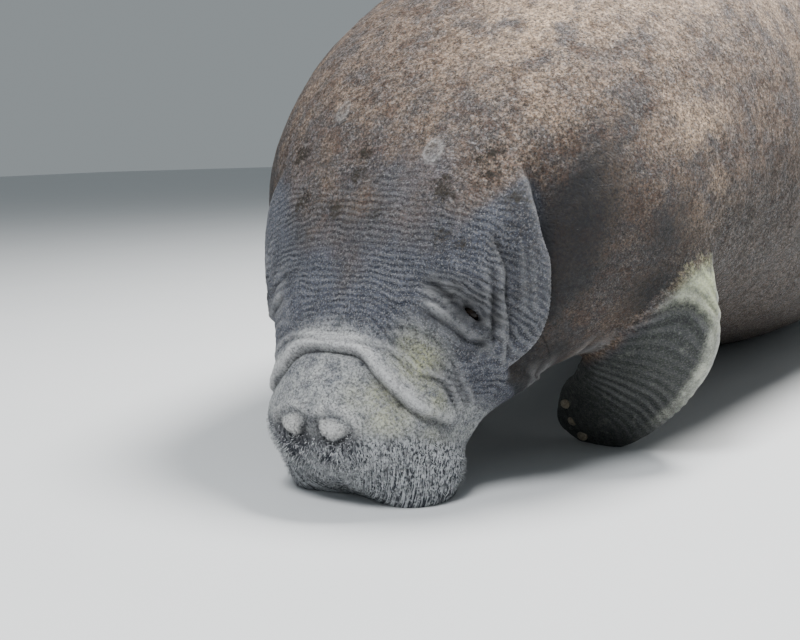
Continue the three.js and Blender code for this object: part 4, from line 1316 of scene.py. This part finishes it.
    # Then painted shade in the folds, and painted highlight on their crests
    crest_highlight = n.times(f.light, n.between(grain, 0.34, 0.54), 0.60, n.without(low_mud_and_shade))
    colour = n.paint(
        colour,
        (n.times(zone, 0.94), n.mix(n.between(knobs, 0.10, 0.80), KNOB_DARK_AND_SHADE, KNOB_PALE_AND_HIGHLIGHT)),
        (n.times(f.shade, f.bristle, n.between(streak, 0.84, 0.56)), KNOB_DARK_AND_SHADE),
        # Pale valves and ring scars, and painted highlight on the nostrils' hoods
        (n.times(f.pale, n.between(fleck, 0.38, 0.60, 0.35, 1.0)), PALE_SKIN_AND_HIGHLIGHT),
        # Painted shade in the valleys of the fine wrinkles
        (n.times(line, 0.42), FOLD_SHADE),
        # Painted highlight on the ridges of the fine wrinkles
        (n.times(n.between(wave, 0.6, 1.0), f.wrinkle, 0.16), CREST_HIGHLIGHT),
        # Painted shade in grooves, below steps, round the nostrils, in the eye's slit and hollow and in the
        # flipper's folds
        (n.times(f.dark, n.between(fleck, 0.30, 0.62, 1.0, 0.72), 0.80), FOLD_SHADE),
        # Painted highlight on fold and step edges and along the flipper's rim
        (crest_highlight, CREST_HIGHLIGHT),
    )

    # Relief: a net of fine cracks that run round the body, pebbles and crusts of growth
    net = n.cells(1.0, "DISTANCE_TO_EDGE", n.stretch(lie, *CRACKS))
    crack = n.times(n.between(net, 0.0, 0.16), n.without(f.seam))
    crust = n.times(growth, n.plus(n.times(dark, 1.4), n.times(clump, 1.2)))
    height = n.plus(n.times(crack, 0.40), n.times(fleck, 1.3), n.times(noises.grit, 0.7), n.times(grain, 1.3))
    height = n.plus(height, crust, n.times(line, -0.9), n.times(knobs, zone, 1.2))
    normal = n.bump(medium, 0.0060, 0.7, n.bump(height, 0.0018))
    return n.look(colour, n.between(grain, 0.35, 0.65, 0.55, 0.85), normal, 0.35)


EYE_DARK, EYE_BROWN = (0.004, 0.003, 0.003), (0.014, 0.010, 0.007)
NAIL_PALE, NAIL_DARK = (0.300, 0.260, 0.190), (0.160, 0.130, 0.095)
BRISTLE_DARK, BRISTLE_PALE = (0.240, 0.245, 0.255), (0.700, 0.715, 0.730)
HAIR_DARK, HAIR_PALE = (0.110, 0.095, 0.080), (0.260, 0.220, 0.180)


def eye_material():
    n = Nodes("manatee_eye")
    colour = n.mix(n.between(n.noise(300, 4, 0.6), 0.4, 0.7), EYE_DARK, EYE_BROWN)
    roughness = n.between(n.noise(500, 3, 0.5), 0.3, 0.7, 0.03, 0.06)
    return n.look(colour, roughness, n.bump(n.noise(900, 2, 0.5), 0.00005), 0.14)


def nail_material():
    n = Nodes("manatee_nail")
    ridges = n.noise(260, 5, 0.6, n.stretch(n.coordinates, 1.0, 4.0, 1.0))
    colour = n.mix(n.between(ridges, 0.35, 0.7), NAIL_PALE, NAIL_DARK)
    return n.look(colour, n.between(ridges, 0.3, 0.7, 0.40, 0.60), n.bump(ridges, 0.0006))


def hair_material(name, dark, pale):
    n = Nodes(name)
    shade = n.noise(160, 4, 0.6)
    colour = n.mix(n.between(shade, 0.4, 0.6), dark, pale)
    return n.look(colour, n.between(shade, 0.3, 0.7, 0.5, 0.7), n.bump(n.noise(1500, 2, 0.5), 0.0001))


skin.data.materials.clear()
skin.data.materials.append(skin_material())
flesh = [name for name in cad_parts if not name.startswith(("eye_", "nail_"))]
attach(skin, "root")
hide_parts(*flesh)
bristles.data.materials.append(hair_material("bristle_hair", BRISTLE_DARK, BRISTLE_PALE))
hairs.data.materials.append(hair_material("body_hair", HAIR_DARK, HAIR_PALE))
for piece, slot in ((bristles, "muzzle_skin"), (hairs, "back_skin")):
    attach(piece, "root")

eye_look, nail_look = eye_material(), nail_material()
for name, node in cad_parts.items():
    if name.startswith("nail_"):
        node.data.materials.clear()
        node.data.materials.append(nail_look)
    if name.startswith("eye_"):
        low, high = (Vector(corner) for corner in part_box(name))
        mesh = made_mesh("ball_" + name, bmesh.ops.create_uvsphere, u_segments=48, v_segments=32,
                         radius=EYE["ball"])
        mesh.transform(Matrix.Translation((low + high) / 2))
        shade_smooth(mesh)
        ball = new_object("ball_" + name, mesh)
        ball.data.materials.append(eye_look)
        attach(ball, "root")
        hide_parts(name)


# Floor, light and camera

FLOOR_SIZE, FLOOR_CELLS = 60, 24
FLOOR_PALE, FLOOR_PALER = (0.60, 0.62, 0.63), (0.64, 0.65, 0.66)
WORLD_COLOUR, WORLD_STRENGTH = (0.78, 0.86, 0.90), 0.35
# Each light's place, the point it faces, its size, power and colour
LIGHTS = {
    "key": ((0.2, -3.0, 2.9), (0.05, -1.1, 0.3), 1.0, 122, (0.98, 0.99, 1.0)),
    "top": ((0.9, 0.0, 3.2), (0.10, -0.5, 0.5), 1.2, 260, (1.0, 0.98, 0.95)),
    "rear": ((0.5, 2.8, 3.0), (0.0, 0.8, 0.3), 2.5, 80, (0.95, 0.97, 1.0)),
}


def stage_floor():
    mesh = made_mesh("floor", bmesh.ops.create_grid, x_segments=FLOOR_CELLS, y_segments=FLOOR_CELLS,
                     size=FLOOR_SIZE / 2)
    n = Nodes("floor")
    mesh.materials.append(n.look(n.mix(n.noise(3, 3, 0.5), FLOOR_PALE, FLOOR_PALER), 0.85))
    floor = new_object("floor", mesh)


def area_light(name, place, towards, size, power, colour):
    light = bpy.data.lights.new(name, "AREA")
    light.shape, light.size, light.energy, light.color = "DISK", size, power, colour
    lamp = new_object(name, light)
    lamp.location = place
    lamp.rotation_euler = (Vector(towards) - Vector(place)).to_track_quat("-Z", "Y").to_euler()


def light_world(colour, strength):
    world = bpy.data.worlds.new("studio")
    world.use_nodes = True
    background = world.node_tree.nodes["Background"]
    background.inputs["Color"].default_value = (*colour, 1)
    background.inputs["Strength"].default_value = strength
    bpy.context.scene.world = world


def photo_camera():
    azimuth, elevation, roll = (math.radians(v) for v in (CAMERA_AZIMUTH, CAMERA_ELEVATION, CAMERA_ROLL))
    level = math.cos(elevation)
    back = Vector((math.sin(azimuth) * level, -math.cos(azimuth) * level, math.sin(elevation)))
    right = Vector((math.cos(azimuth), math.sin(azimuth), 0))
    up = back.cross(right)
    right, up = right * math.cos(roll) + up * math.sin(roll), up * math.cos(roll) - right * math.sin(roll)
    turned = Matrix((right, up, back)).transposed().to_4x4()
    data = bpy.data.cameras.new("camera")
    data.sensor_width = SENSOR
    data.lens = SENSOR * FOCAL_PIXELS / FRAME_WIDTH
    camera = new_object("camera", data)
    camera.matrix_world = Matrix.Translation(CAMERA_AT) @ turned
    bpy.context.scene.camera = camera


stage_floor()
light_world(WORLD_COLOUR, WORLD_STRENGTH)
for name, settings in LIGHTS.items():
    area_light(name, *settings)
photo_camera()
